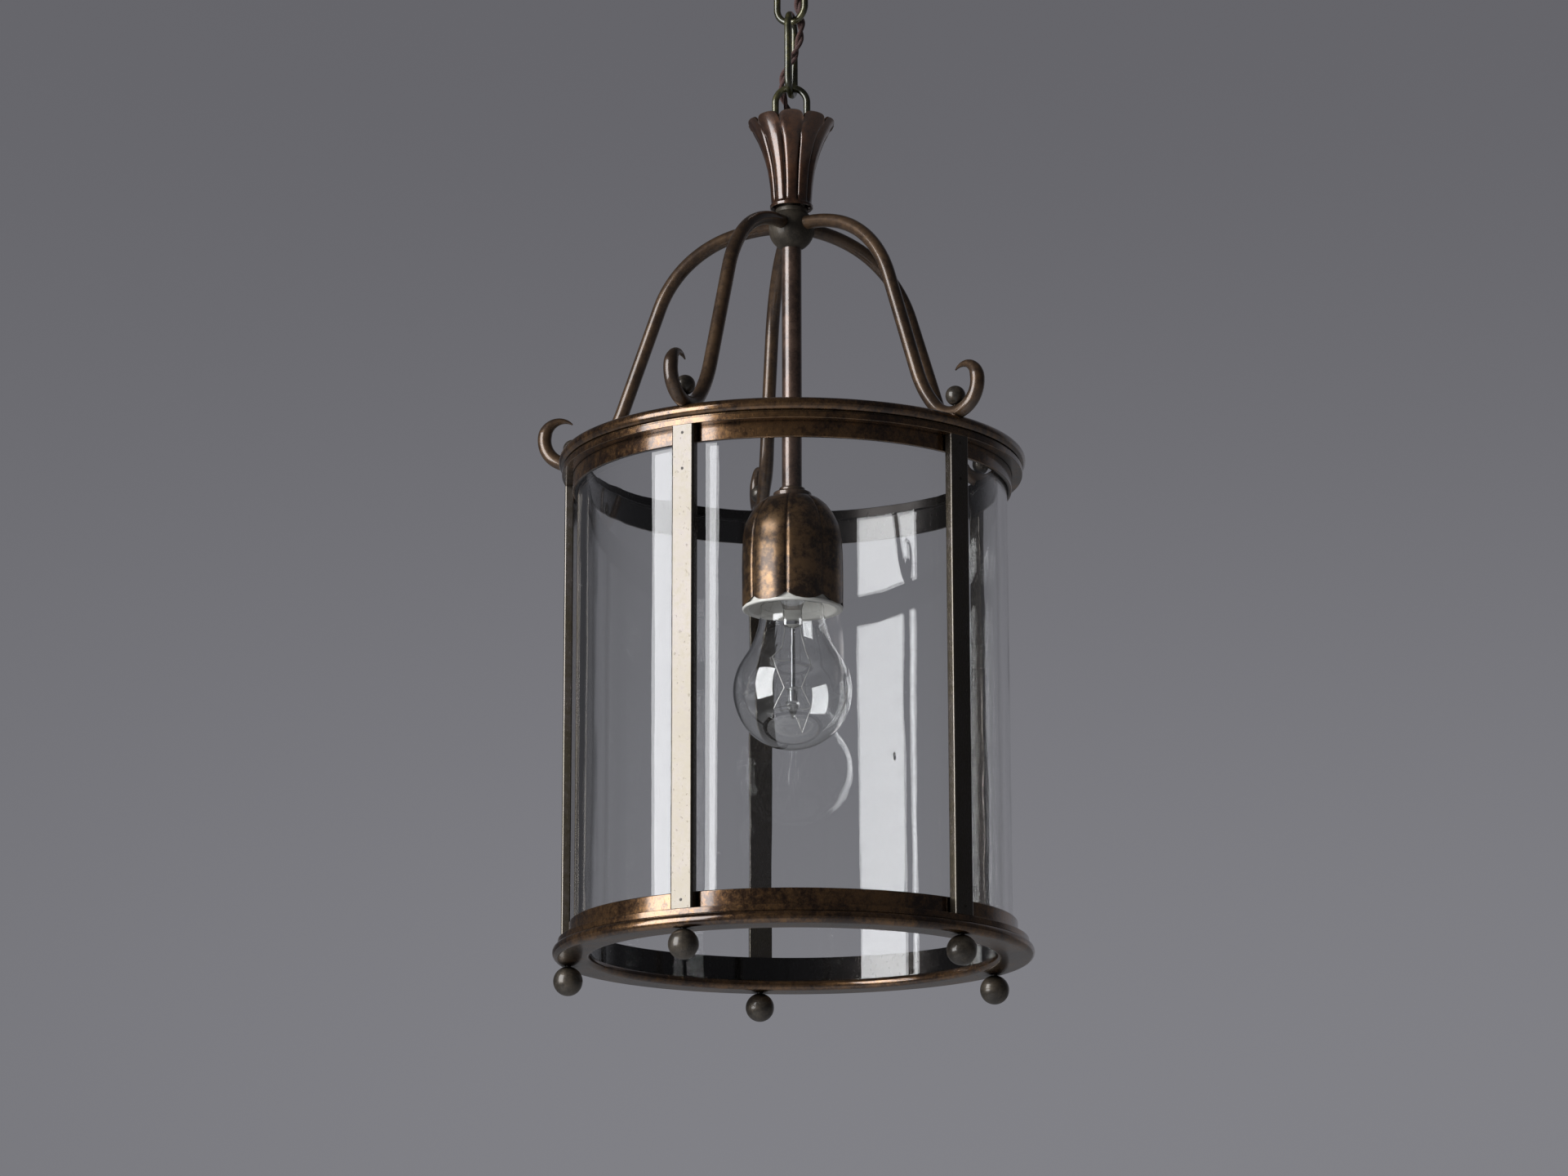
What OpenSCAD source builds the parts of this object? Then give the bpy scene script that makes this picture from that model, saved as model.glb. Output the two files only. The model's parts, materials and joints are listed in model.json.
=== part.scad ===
// Ceiling lantern: a glass cylinder in a ring-and-upright frame, five scrolled arms, chain and ceiling rose.
// Millimetres. The ceiling is the plane z = 0 and the lantern hangs below it.
// Heights named *_u are measured up from the underside of the base ring.

/* [View] */
// Which sub-part to draw

/* [Glass and rings] */
// Outside radius of the glass cylinder
glass_r = 109.1; // [104:0.1:112]
// Wall of the glass cylinder
glass_wall = 3; // [2:0.5:4]
// How far the glass reaches up past the underside of the top band
glass_rise = 4.8; // [2:0.1:8]
// Space between the glass and the two collars
glass_gap = 0.4; // [0.2:0.1:1]
// Wall of the two collars
collar_wall = 2; // [1:0.1:2.3]
// Height of the lower collar
low_collar_h = 12.7; // [8:0.1:18]
// How far the top collar reaches below the top band
top_collar_drop = 8.1; // [4:0.1:14]
// How far the two plain bands stand out from the collars
band_w = 5.45; // [5.2:0.05:9]
// Height of each plain band
band_h = 3.1; // [2:0.1:5]
// How far the base ring reaches in under the glass
glass_seat = 5.1; // [3:0.1:12]
// Thickness of the glass seat in the base ring
seat_h = 5.2; // [4:0.1:6]
// How far the base ring's half-round nose stands out from the band
base_nose_out = 2.7; // [1:0.1:5]
// Half the height of the base ring's nose
base_nose_r = 3.1; // [2.7:0.1:3.5]
// How far the top ring's half-round nose stands out from the band
top_nose_out = 1.6; // [0.5:0.1:4]
// Half the height of the top ring's nose
top_nose_r = 3.2; // [2.8:0.1:3.6]
// Height and depth of the groove between the top band and the nose
groove = 0.9; // [0.5:0.1:1.2]

/* [Uprights and feet] */
// Number of uprights, arms and feet
sides = 5; // [3:1:8]
// Width of an upright
upright_w = 12; // [8:0.5:16]
// Thickness of an upright
upright_t = 4.8; // [3.5:0.1:5]
// Length of an upright between the bands
upright_h = 237.7; // [232:0.1:244]
// Radius of the long edges of an upright
upright_edge = 0.6; // [0.2:0.1:1]
// Radius of the pins in the uprights
pin_r = 1.1; // [0.6:0.1:1.5]
// Radius of a foot ball
foot_r = 7.4; // [5:0.1:9]
// How far the foot balls stand in from the face of the band
foot_inset = 2.8; // [2.5:0.1:4]
// Radius of the studs that carry the foot balls
stud_r = 1.5; // [1:0.1:2]

/* [Arms] */
// Radius of the arm rod
arm_r = 3.6; // [2.8:0.1:4]
// Radius at the point of the scroll
arm_tip_r = 0.5; // [0.3:0.1:1]
// Radius of the small ball in each scroll
arm_ball_r = 5; // [4:0.1:5.2]
// Radius of the pin below each small ball
arm_pin_r = 1.1; // [0.8:0.1:1.5]

/* [Hub, crown and stem] */
// Radius of the hub ball
hub_r = 11.8; // [11:0.1:13]
// Radius of the hub's neck
neck_r = 9.3; // [8.5:0.1:10]
// Height of the tulip's foot above the centre of the hub ball
neck_h = 10.9; // [9.5:0.1:13]
// Number of petals on the tulip crown
petals = 10; // [6:1:12]
// Wall of the tulip crown
petal_wall = 1.2; // [0.8:0.1:1.5]
// Thickness of the tulip crown's floor
crown_floor = 3.5; // [2.5:0.1:5]
// Radius of the stem tube
stem_r = 5.1; // [4.6:0.1:6]
// Radius of the bore for the flex in stem, hub and stirrup
flex_bore = 3.2; // [2.8:0.1:3.6]
// Visible length of the stem between the hub ball and the holder collar
stem_visible = 126.6; // [110:0.1:140]

/* [Lampholder] */
// Greatest radius of the fluted husk
husk_r = 25.8; // [24.8:0.1:28]
// Height of the fluted husk, from its top to the tips of its rim
husk_h = 57.4; // [52:0.1:62]
// Number of flutes on the husk
flutes = 8; // [6:1:12]
// Wall of the husk
husk_wall = 1.2; // [0.8:0.1:1.5]
// Depth of the husk's seams
seam = 1.1; // [0.5:0.1:1.5]
// Height of the small upper disc of the holder collar
collar_disc_h = 2.1; // [1.5:0.1:3]
// Height of the large lower disc of the holder collar
collar_base_h = 3.3; // [2:0.1:5]
// Radius of the small upper disc
collar_disc_r = 7; // [6.5:0.1:8]
// Radius of the large lower disc
collar_base_r = 10; // [9:0.1:11]

/* [Bulb] */
// Radius of the bulb's globe
bulb_r = 30; // [27.5:0.5:32]
// Wall of the bulb's glass
bulb_wall = 0.8; // [0.5:0.1:1.2]
// Radius of the bulb's neck
bulb_neck_r = 16.2; // [15:0.1:16.8]
// Radius of the hollow flare between neck and globe
bulb_flare_r = 45; // [35:1:60]
// Radius of the bulb's cap
cap_r = 13.2; // [12.8:0.1:13.4]
// Length of the bulb's cap without its contact
cap_h = 22.5; // [22:0.5:26]

/* [Chain and ceiling rose] */
// Outside length of a chain link
link_l = 47.4; // [40:0.1:56]
// Outside width of a chain link
link_w = 20; // [18:0.1:22]
// Wire of the chain links and of the stirrup
link_wire = 3.6; // [3:0.1:4]
// Running gap where one link hangs in the next
link_gap = 0.2; // [0.1:0.05:0.5]
// Radius of the stirrup's bow, to the middle of its wire
bow_r = 6; // [5.6:0.1:6.4]
// Wire of the ceiling eye
eye_wire = 4; // [3:0.1:5]
// Radius of the ceiling eye, to the middle of its wire
eye_r = 8; // [7:0.1:10]
// Distance from the rose to the middle of the ceiling eye
eye_drop = 12; // [10.5:0.1:16]
// Radius of the ceiling rose
rose_r = 38; // [32:0.5:50]
// Height of the ceiling rose
rose_h = 24; // [20:0.5:30]
// Wall of the ceiling rose
rose_wall = 2; // [1.5:0.1:3]
// Radius of the rose's dome
dome_r = 23; // [20:0.5:25]
// Thickness of the rose's flange
rose_flange = 4; // [3:0.1:5]
// Distance between the two fixing screws of the rose
screw_span = 60; // [56:1:64]
// Radius of the holes for the fixing screws
screw_hole_r = 2.2; // [1.5:0.1:3]
// Radius of the flex that is threaded through the chain
flex_r = 2.2; // [1.8:0.1:2.4]

/* [Hidden] */
$fn = 64;
fit = 0.05;
pin_fit = 0.02;
bronze = [0.33, 0.21, 0.14];
dark_bronze = [0.22, 0.18, 0.14];
chain_brass = [0.55, 0.52, 0.32];
clear_glass = [0.85, 0.9, 0.92, 0.3];
porcelain = [0.93, 0.92, 0.86];

// The turn of each ring of the chain about the vertical, from +X: eye, three links, stirrup
eye_turn = 88;
link_turns = [178, 105, 27];
bow_turn = 117;
side_turn = 360 / sides;

// Levels of the chain, from the ceiling down, at the middle of the wire
link_span = link_l - link_wire;
eye_z = -rose_h - eye_drop;
hook_z = eye_z - eye_r;
link_1_z = hook_z + (eye_wire + link_wire) / 2 + link_gap - link_span / 2;
link_step = link_span - link_wire - link_gap;
bow_z = link_1_z - 2 * link_step - link_span / 2 + link_wire + link_gap;
rose_boss_r = 6;
rose_floor = 4;
dome_cove = 2.5;
shoulder_r = dome_r - 5;
shoulder_z = 0.55 * rose_h;
crest_r = dome_r - 9;
crest_z = 0.82 * rose_h;
eye_nut_h = 3;
bow_leg = 14.6;
bow_disc_h = 2;
bow_disc_r = 8.8;
nipple_r = 4.6;
nipple_l = 6;

// Levels and radii of the frame
stem_socket = 5;
pin_depth = 3;
pin_levels = [4, upright_h - 22, upright_h - 4];
collar_in = glass_r + glass_gap;
collar_out = collar_in + collar_wall;
band_r = collar_out + fit + band_w;
base_nose_x = band_r + base_nose_out - base_nose_r;
hole_r = glass_r - glass_wall - glass_seat;
foot_circle = band_r - foot_inset;
low_band_u = 2 * base_nose_r + fit;
upright_u = low_band_u + band_h;
top_band_u = upright_u + upright_h;
top_nose_u = top_band_u + band_h + groove + top_nose_r;
top_nose_x = band_r + top_nose_out - top_nose_r;
top_u = top_nose_u + top_nose_r;
glass_h = top_band_u + glass_rise - seat_h - pin_fit;
upright_x = band_r - upright_t;
stud_top_u = low_band_u + band_h - 0.8;

// The arm's centre line in its own upright plane, after a short straight lead from the hub, as [bend radius,
// turn in degrees] or, where straight, [0, length]. Run touch_run rests on the top ring; the last one tapers.
arm_heading = -5;
arm_runs = [[76, -15.67], [58.97, -50], [0, 58.16], [60, 23.58], [17.25, 80.78], [13.2, 68.85], [8.84, 117.6]];
touch_run = 4;
arm_root_r = 7;
arm_root_rise = 1.5;
arm_sink = 1.794;
arm_touch_in = 1.84;
arm_step = 9;
arm_sides = 14;
arm_socket_r = arm_r + fit;
arm_pin_l = 7;
pin_top = 2;

// Where the arm touches down, seen from the end of its lead, which fixes the lead's length and the hub's height
touch = arm_touch(0, [0, 0], arm_heading);
arm_lead = (top_nose_x - arm_touch_in - touch[0] - arm_root_r) / cos(arm_heading);
arm_start = [arm_root_r, top_u - arm_sink + arm_r - touch[1] - arm_lead * sin(arm_heading)];
hub_u = arm_start[1] - arm_root_rise;
crown_u = hub_u + neck_h;
base_z = bow_z - bow_r - bow_leg - bow_disc_h - crown_floor - crown_u;
arm_ball = [top_nose_x - arm_touch_in + 0.63, top_u - arm_sink + arm_r + arm_ball_r + 3.53];

// Profile of the tulip crown outside: [height above its foot, radius, flute depth]
crown_profile = [[0, 10.2, 0], [0.8, 10.75, 0.1], [2, 10.75, 0.2], [3, 10.5, 0.5], [6, 10.85, 0.8],
    [11, 11.15, 0.9], [16, 11.75, 1], [21.5, 12.6, 1.1], [27, 14, 1.2], [32, 15.6, 1.3], [37, 17.6, 1.4],
    [41.5, 19.9, 1.4], [44.5, 21.3, 1.3], [46.6, 22.6, 1.1]];
crown_notch = 4.2;
crown_steps = 6;

// Profile of the husk outside: [depth below its top, radius as a share of the greatest, seam share]
husk_profile = [[0, 0.44, 0], [0.3, 0.5, 0.1], [1.6, 0.585, 0.5], [4.2, 0.705, 0.8], [8.8, 0.83, 1],
    [13.6, 0.915, 1], [20.2, 0.97, 1], [29, 0.992, 1], [38, 1, 1], [48, 0.998, 1], [57.4, 0.993, 1]];
husk_notch = 3;
husk_steps = 6;
husk_turn = 20;

// Levels of the lampholder, above the base ring's underside
collar_top_u = hub_u - hub_r - stem_visible;
husk_u = collar_top_u - collar_disc_h - collar_base_h;
cup_r = husk_r - husk_wall - seam - 0.2;
cup_top_u = husk_u - 14.9;
cup_floor = 4;
cup_rim_u = husk_u - husk_h + 0.8;
cup_mouth_r = cup_r - 2.2;
cup_bore_r = 16;
cup_neck_u = cup_rim_u + 12;
cup_shoulder_u = cup_neck_u + 6;
block_h = 5;
contact_h = 1.2;
contact_r = 4;
shell_wall = 0.5;
bulb_clear = 0.35;
shell_r = cap_r + bulb_clear + shell_wall;
button_h = 2.4;
button_r = 4.8;
cap_wall = 0.6;
cap_cone = 4;
cap_crown_r = 6.3;
cap_top_u = cup_top_u - cup_floor - block_h - contact_h - bulb_clear - button_h;
cap_u = cap_top_u - cap_h;
bulb_top_u = cap_u + 4;
bulb_neck_u = cap_u - 6.3;
flare_rise = sqrt(pow(bulb_r + bulb_flare_r, 2) - pow(bulb_neck_r + bulb_flare_r, 2));
bulb_u = bulb_neck_u - flare_rise;

// Inside the bulb, with heights above the middle of its globe: the pinch, and the rod's button [radius, end, top]
pinch_r = 4.5;
pinch_z = [33.3, 42.6];
rod_r = 1.5;
rod_button = [2.6, 14.3, 1.3];
root_top = 16;
lead_x = 3.8;
filament_r = 0.2;
wire_r = 0.25;
wire_gap = 0.1;
filament_route = [[-5.2, -1, 22.7], [-10.5, 0, 17.9], [-4.2, -7, 0.4], [-9.7, -2, -9.2], [-1, 6, -5.7],
    [4.6, 1, -21], [9.1, -2, -8.8], [4.2, 6, 3.3], [9.2, 0, 14.1], [8, -1, 16.4]];

// The flex, in the plane of the last link and square to it, with the height: rose, links, crown, stem
flex_turn = 27;
flex_route = [[9.5, 3, -1], [9.5, 3, -14], [9.5, 3, -27], [8.8, 3.2, -36], [7.4, 3.6, -44],
    [5.6, 4.2, -54], [4.2, 4.6, -64], [3.7, 4.6, -73], [4.6, 3.8, -79], [5.3, 3.1, -84],
    [4.9, 2.4, -90], [2.6, 2.2, -99], [-0.6, 2.2, -106], [-4, 3, -113], [-4.9, 4, -118], [-4.3, 4.6, -123],
    [-2.6, 4.7, -128], [-1.2, 4.5, -134], [-1.4, 4.5, -142], [-3, 4.5, -150], [-4.6, 4.4, -158],
    [-4.8, 4.2, -163], [-4.2, 2.8, -169], [-2.2, 1.1, -175], [0, 0, -181], [0, 0, -187],
    [0, 0, base_z + cup_top_u + 16], [0, 0, base_z + cup_top_u - 0.3]];
flex_cuts = [0, 4, 9, 15, 21, 27];
flex_sides = 8;
flex_gap = 0.4;

// Placement

module lantern_frame() {
    translate([0, 0, base_z]) children();
}

// Side 0 looks along -Y and the others follow round
module on_side(i) {
    rotate([0, 0, i * side_turn - 90]) children();
}

// Shared shapes

// A closed ring of wire in the plane of X and Z: two straight legs between two round bends
module wire_link(length, width, wire) {
    bend_r = (width - wire) / 2;
    leg = length - width;
    for (side = [-1, 1]) {
        translate([side * bend_r, 0, -leg / 2]) cylinder(d = wire, h = leg, $fn = 32);
        translate([0, 0, side * leg / 2])
            rotate([90, 0, 0])
            rotate([0, 0, 90 - side * 90])
            rotate_extrude(angle = 180, $fn = 64)
            translate([bend_r, 0]) circle(d = wire, $fn = 32);
    }
}

// A petal's outline across its width, 0 in the middle and 1 at its seams
function arch(t) = 1 - sqrt(1 - pow(0.98 * t, 2));
function across(i, steps) = 2 * (i % steps) / steps - 1;

// Rows of points round the axis; a row is [radius, height, flute depth, notch] and the last closes on the first
module fluted_shell(rows, lobes, steps) {
    count = lobes * steps;
    points = [for (row = rows, i = [0 : count - 1])
        let (share = arch(abs(across(i, steps))), turn = 360 * i / count, r = row[0] - row[2] * share)
        [r * cos(turn), r * sin(turn), row[1] + row[3] * share]];
    faces = [for (j = [0 : len(rows) - 1], i = [0 : count - 1])
        let (k = (j + 1) % len(rows), n = (i + 1) % count)
        each [[j * count + i, k * count + n, j * count + n], [j * count + i, k * count + i, k * count + n]]];
    polyhedron(points, faces);
}

// A round tube through rings of points; a ring is [middle, direction, radius]
module swept_tube(rings, count, beside) {
    last = len(rings) - 1;
    points = [for (ring = rings)
        let (side = unit(cross(ring[1], beside)), up = cross(side, ring[1]))
        for (i = [0 : count - 1])
        ring[0] + ring[2] * (cos(360 * i / count) * side + sin(360 * i / count) * up)];
    walls = [for (j = [0 : last - 1], i = [0 : count - 1])
        let (n = (i + 1) % count, a = j * count, b = a + count)
        each [[a + i, a + n, b + n], [a + i, b + n, b + i]]];
    ends = [[for (i = [count - 1 : -1 : 0]) i], [for (i = [0 : count - 1]) last * count + i]];
    polyhedron(points, concat(walls, ends));
}

function unit(v) = v / norm(v);
function route_way(i) = unit(flex_route[min(i + 1, len(flex_route) - 1)] - flex_route[max(i - 1, 0)]);

module flex_piece(k) {
    color(bronze)
        rotate([0, 0, flex_turn])
        swept_tube([for (i = [flex_cuts[k] : flex_cuts[k + 1]]) [flex_route[i], route_way(i), flex_r]],
            flex_sides, [0, 1, 0]);
}

// Ceiling side

module ceiling_rose() {
    color(bronze)
    difference() {
        rotate_extrude() rose_section();
        for (side = [-1, 1])
            translate([side * screw_span / 2, 0, -rose_h])
            cylinder(r = screw_hole_r, h = rose_h + 1);
        translate([0, 0, -rose_h - 1]) cylinder(r = eye_wire / 2 + fit, h = rose_h);
        rotate([0, 0, flex_turn])
            translate([flex_route[1][0], flex_route[1][1], -rose_h - 1])
            cylinder(r = flex_r + flex_gap, h = rose_h);
    }
}

// A flat flange with a bevelled rim round a small dome that is hollow from above
module rose_section() {
    difference() {
        union() {
            polygon([[0, 0], [rose_r, 0], [rose_r, -rose_flange / 2], [rose_r - rose_flange / 2, -rose_flange],
                [0, -rose_flange]]);
            polygon([[0, 0], [dome_r, 0], [dome_r, -rose_flange], [dome_r - dome_cove, -rose_flange - dome_cove],
                [shoulder_r, -shoulder_z], [crest_r, -crest_z], [rose_boss_r, -rose_h], [0, -rose_h]]);
        }
        polygon([[0, 1], [shoulder_r - rose_wall, 1], [shoulder_r - rose_wall, rose_wall - shoulder_z],
            [crest_r - rose_wall, rose_floor - rose_h], [0, rose_floor - rose_h]]);
    }
}

module ceiling_eye() {
    color(chain_brass)
    translate([0, 0, eye_z])
    rotate([0, 0, eye_turn]) {
        rotate([90, 0, 0]) rotate_extrude() translate([eye_r, 0]) circle(d = eye_wire, $fn = 32);
        translate([0, 0, eye_r]) cylinder(d = eye_wire, h = eye_drop - eye_r + rose_floor + eye_nut_h, $fn = 32);
        translate([0, 0, eye_drop + rose_floor]) cylinder(r = eye_wire, h = eye_nut_h, $fn = 6);
    }
}

module chain_link(k) {
    color(chain_brass)
        translate([0, 0, link_1_z - k * link_step])
        rotate([0, 0, link_turns[k]])
        wire_link(link_l, link_w, link_wire);
}

// Crown, hub and stem

module stirrup() {
    color(dark_bronze)
    translate([0, 0, bow_z - bow_r])
    rotate([0, 0, bow_turn]) {
        rotate([90, 0, 0])
            rotate_extrude(angle = 180)
            translate([bow_r, 0]) circle(d = link_wire, $fn = 32);
        for (side = [-1, 1])
            translate([side * bow_r, 0, -bow_leg]) cylinder(d = link_wire, h = bow_leg, $fn = 32);
        translate([0, 0, -bow_leg - bow_disc_h])
            difference() {
                union() {
                    cylinder(r = bow_disc_r, h = bow_disc_h);
                    translate([0, 0, -crown_floor - nipple_l]) cylinder(r = nipple_r, h = crown_floor + nipple_l + 1);
                }
                translate([0, 0, -crown_floor - nipple_l - 1])
                    cylinder(r = flex_bore, h = crown_floor + nipple_l + bow_disc_h + 2);
            }
    }
}

module tulip_crown() {
    top = len(crown_profile) - 1;
    full = crown_profile[top][0];
    outside = [for (p = crown_profile)
        [p[1], p[0], p[2], -crown_notch * pow(p[0] / full, 3)]];
    inside = [for (i = [top : -1 : 4])
        let (p = crown_profile[i])
        [p[1] - petal_wall, p[0] - (i == top ? 0.1 : 0), p[2], -crown_notch * pow(p[0] / full, 3)]];
    floor_rows = [[bow_disc_r + 0.2, crown_floor, 0, 0], [nipple_r + fit, crown_floor, 0, 0],
        [nipple_r + fit, 0, 0, 0]];
    color(bronze)
        translate([0, 0, crown_u])
        rotate([0, 0, flex_turn])
        rotate([0, 0, -90 + 180 / petals])
        fluted_shell(concat(outside, inside, floor_rows), petals, crown_steps);
}

module hub() {
    color(dark_bronze)
    difference() {
        union() {
            translate([0, 0, hub_u]) sphere(r = hub_r);
            translate([0, 0, hub_u]) cylinder(r = neck_r, h = neck_h);
        }
        translate([0, 0, hub_u - hub_r - 1]) cylinder(r = flex_bore, h = hub_r + neck_h + 2);
        translate([0, 0, crown_u - nipple_l]) cylinder(r = nipple_r + pin_fit, h = nipple_l + 1);
        translate([0, 0, hub_u - hub_r - 1]) cylinder(r = stem_r + pin_fit, h = stem_socket + 1);
        for (i = [0 : sides - 1])
            on_side(i)
            translate([arm_start[0], 0, arm_start[1]])
            rotate([0, 90 - arm_heading, 0])
            cylinder(r = arm_socket_r, h = hub_r, $fn = 48);
    }
}

module stem_tube() {
    length = stem_socket + stem_visible + husk_u - cup_top_u + collar_disc_h + collar_base_h;
    color(dark_bronze)
        translate([0, 0, cup_top_u])
        difference() {
            cylinder(r = stem_r, h = length);
            translate([0, 0, -1]) cylinder(r = flex_bore, h = length + 2);
        }
}

// Arms

// The point a share of the way along a run that starts at p with this heading
function along(run, share, p, heading) =
    run[0] == 0
        ? p + share * run[1] * [cos(heading), sin(heading)]
        : let (swing = run[0] * sign(run[1]), turned = heading + share * run[1])
            p + swing * [sin(turned) - sin(heading), cos(heading) - cos(turned)];

function run_turn(run) = run[0] == 0 ? 0 : run[1];
function run_rings(run) = run[0] == 0 ? 1 : ceil(abs(run[1]) / arm_step);

// Rings [middle, direction, radius] from run i onwards
function arm_rings(i, p, heading) =
    i == len(arm_runs) ? [] :
        let (run = arm_runs[i], count = run_rings(run), taper = i == len(arm_runs) - 1 ? arm_r - arm_tip_r : 0)
        concat(
            [for (k = [1 : count])
                let (share = k / count, turned = heading + share * run_turn(run))
                let (spot = along(run, share, p, heading))
                [[spot[0], 0, spot[1]], [cos(turned), 0, sin(turned)], arm_r - taper * pow(share, 1.15)]],
            arm_rings(i + 1, along(run, 1, p, heading), heading + run_turn(run)));

// The lowest point of the run that touches down
function arm_touch(i, p, heading) =
    let (run = arm_runs[i])
    i == touch_run
        ? p + run[0] * [-sin(heading), cos(heading) - 1]
        : arm_touch(i + 1, along(run, 1, p, heading), heading + run_turn(run));

module arm(i) {
    heading = [cos(arm_heading), 0, sin(arm_heading)];
    root = [arm_start[0], 0, arm_start[1]];
    first = arm_start + arm_lead * [heading[0], heading[2]];
    color(bronze)
    on_side(i)
    difference() {
        swept_tube(concat([[root, heading, arm_r], [root + arm_lead * heading, heading, arm_r]],
            arm_rings(0, first, arm_heading)), arm_sides, [0, 1, 0]);
        rotate_extrude($fn = 96) arm_seat_section();
        translate([arm_ball[0], 0, arm_ball[1] - arm_pin_l])
        cylinder(r = arm_pin_r + pin_fit, h = arm_pin_l, $fn = 24);
    }
}

// The ring's top outline, a hair larger, that each arm is filed to
module arm_seat_section() {
    translate([top_nose_x, top_nose_u]) circle(r = top_nose_r + pin_fit, $fn = 48);
    translate([collar_out, top_nose_u]) square([top_nose_x - collar_out, top_nose_r + pin_fit]);
    translate([collar_in - 1, top_nose_u]) square([collar_wall + 1, top_nose_r + pin_fit]);
}

module arm_ball(i) {
    color(dark_bronze)
    on_side(i)
    translate([arm_ball[0], 0, arm_ball[1]])
    difference() {
        sphere(r = arm_ball_r, $fn = 48);
        translate([0, 0, -arm_pin_l]) cylinder(r = arm_pin_r + pin_fit, h = arm_pin_l - pin_top, $fn = 24);
    }
}

module arm_ball_pins() {
    color(dark_bronze)
    for (i = [0 : sides - 1])
        on_side(i)
        translate([arm_ball[0], 0, arm_ball[1] - arm_pin_l + pin_fit])
        cylinder(r = arm_pin_r, h = arm_pin_l - pin_top - 2 * pin_fit, $fn = 24);
}

// Rings and collars

module top_ring() {
    color(bronze)
    rotate_extrude($fn = 128) {
        translate([collar_out + fit, top_band_u]) square([band_r - collar_out - fit, band_h]);
        translate([collar_out + fit, top_band_u]) square([band_r - groove - collar_out - fit, band_h + groove]);
        translate([collar_out + fit, top_nose_u - top_nose_r])
            square([top_nose_x - collar_out - fit, 2 * top_nose_r]);
        translate([top_nose_x, top_nose_u]) circle(r = top_nose_r, $fn = 48);
    }
}

module collar(bottom_u, height) {
    color(bronze)
    rotate_extrude($fn = 128)
    translate([collar_in, bottom_u]) square([collar_wall, height]);
}

module top_collar() {
    collar(top_band_u - top_collar_drop, top_u - top_band_u + top_collar_drop);
}

module low_collar() {
    collar(seat_h + fit, low_collar_h);
}

module low_band() {
    color(bronze)
    difference() {
        rotate_extrude($fn = 128)
            translate([collar_out + fit, low_band_u]) square([band_r - collar_out - fit, band_h]);
        foot_bores();
    }
}

module base_ring() {
    lip_r = seat_h / 2;
    color(bronze)
    difference() {
        rotate_extrude($fn = 128) {
            translate([hole_r + lip_r, lip_r]) circle(r = lip_r, $fn = 48);
            translate([hole_r + lip_r, 0]) square([base_nose_x - hole_r - lip_r, seat_h]);
            translate([collar_out + fit, 0]) square([base_nose_x - collar_out - fit, 2 * base_nose_r]);
            translate([base_nose_x, base_nose_r]) circle(r = base_nose_r, $fn = 48);
        }
        foot_bores();
    }
}

module foot_bores() {
    for (i = [0 : sides - 1])
        on_side(i) translate([foot_circle, 0, -1]) cylinder(r = stud_r + pin_fit, h = stud_top_u + 1, $fn = 32);
}

// Uprights and feet

module upright(i) {
    color(bronze)
    on_side(i)
    translate([upright_x, 0, upright_u])
    difference() {
        linear_extrude(upright_h) upright_section();
        for (level = pin_levels)
            translate([upright_t - pin_depth, 0, level])
            rotate([0, 90, 0]) cylinder(r = pin_r + pin_fit, h = pin_depth + 1, $fn = 24);
    }
}

module upright_section() {
    half = upright_w / 2;
    translate([0, -half]) square([upright_t - upright_edge, upright_w]);
    translate([0, -half + upright_edge]) square([upright_t, upright_w - 2 * upright_edge]);
    for (side = [-1, 1])
        translate([upright_t - upright_edge, side * (half - upright_edge)]) circle(r = upright_edge, $fn = 24);
}

module upright_pins() {
    color(dark_bronze)
    for (i = [0 : sides - 1], level = pin_levels)
        on_side(i)
        translate([upright_x + upright_t - pin_depth, 0, upright_u + level])
        rotate([0, 90, 0]) cylinder(r = pin_r, h = pin_depth, $fn = 24);
}

module foot_ball(i) {
    color(dark_bronze)
    on_side(i)
    translate([foot_circle, 0, -foot_r - fit])
    difference() {
        sphere(r = foot_r, $fn = 48);
        cylinder(r = stud_r + pin_fit, h = foot_r + 1, $fn = 32);
    }
}

module foot_studs() {
    color(dark_bronze)
    for (i = [0 : sides - 1])
        on_side(i)
        translate([foot_circle, 0, -foot_r - fit]) cylinder(r = stud_r, h = foot_r + fit + stud_top_u, $fn = 32);
}

module glass_cylinder() {
    color(clear_glass)
    rotate_extrude($fn = 128)
    translate([glass_r - glass_wall, seat_h + pin_fit]) square([glass_wall, glass_h]);
}

// Lampholder

module holder_collar() {
    edge = 0.8;
    bore = stem_r + pin_fit;
    color(dark_bronze)
    translate([0, 0, husk_u])
    rotate_extrude() {
        translate([bore, 0]) square([collar_base_r - edge - bore, collar_base_h]);
        translate([bore, 0]) square([collar_base_r - bore, collar_base_h - edge]);
        translate([collar_base_r - edge, collar_base_h - edge]) circle(r = edge, $fn = 24);
        translate([bore, 0]) square([collar_disc_r - edge - bore, collar_base_h + collar_disc_h]);
        translate([bore, 0]) square([collar_disc_r - bore, collar_base_h + collar_disc_h - edge]);
        translate([collar_disc_r - edge, collar_base_h + collar_disc_h - edge]) circle(r = edge, $fn = 24);
    }
}

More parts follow.
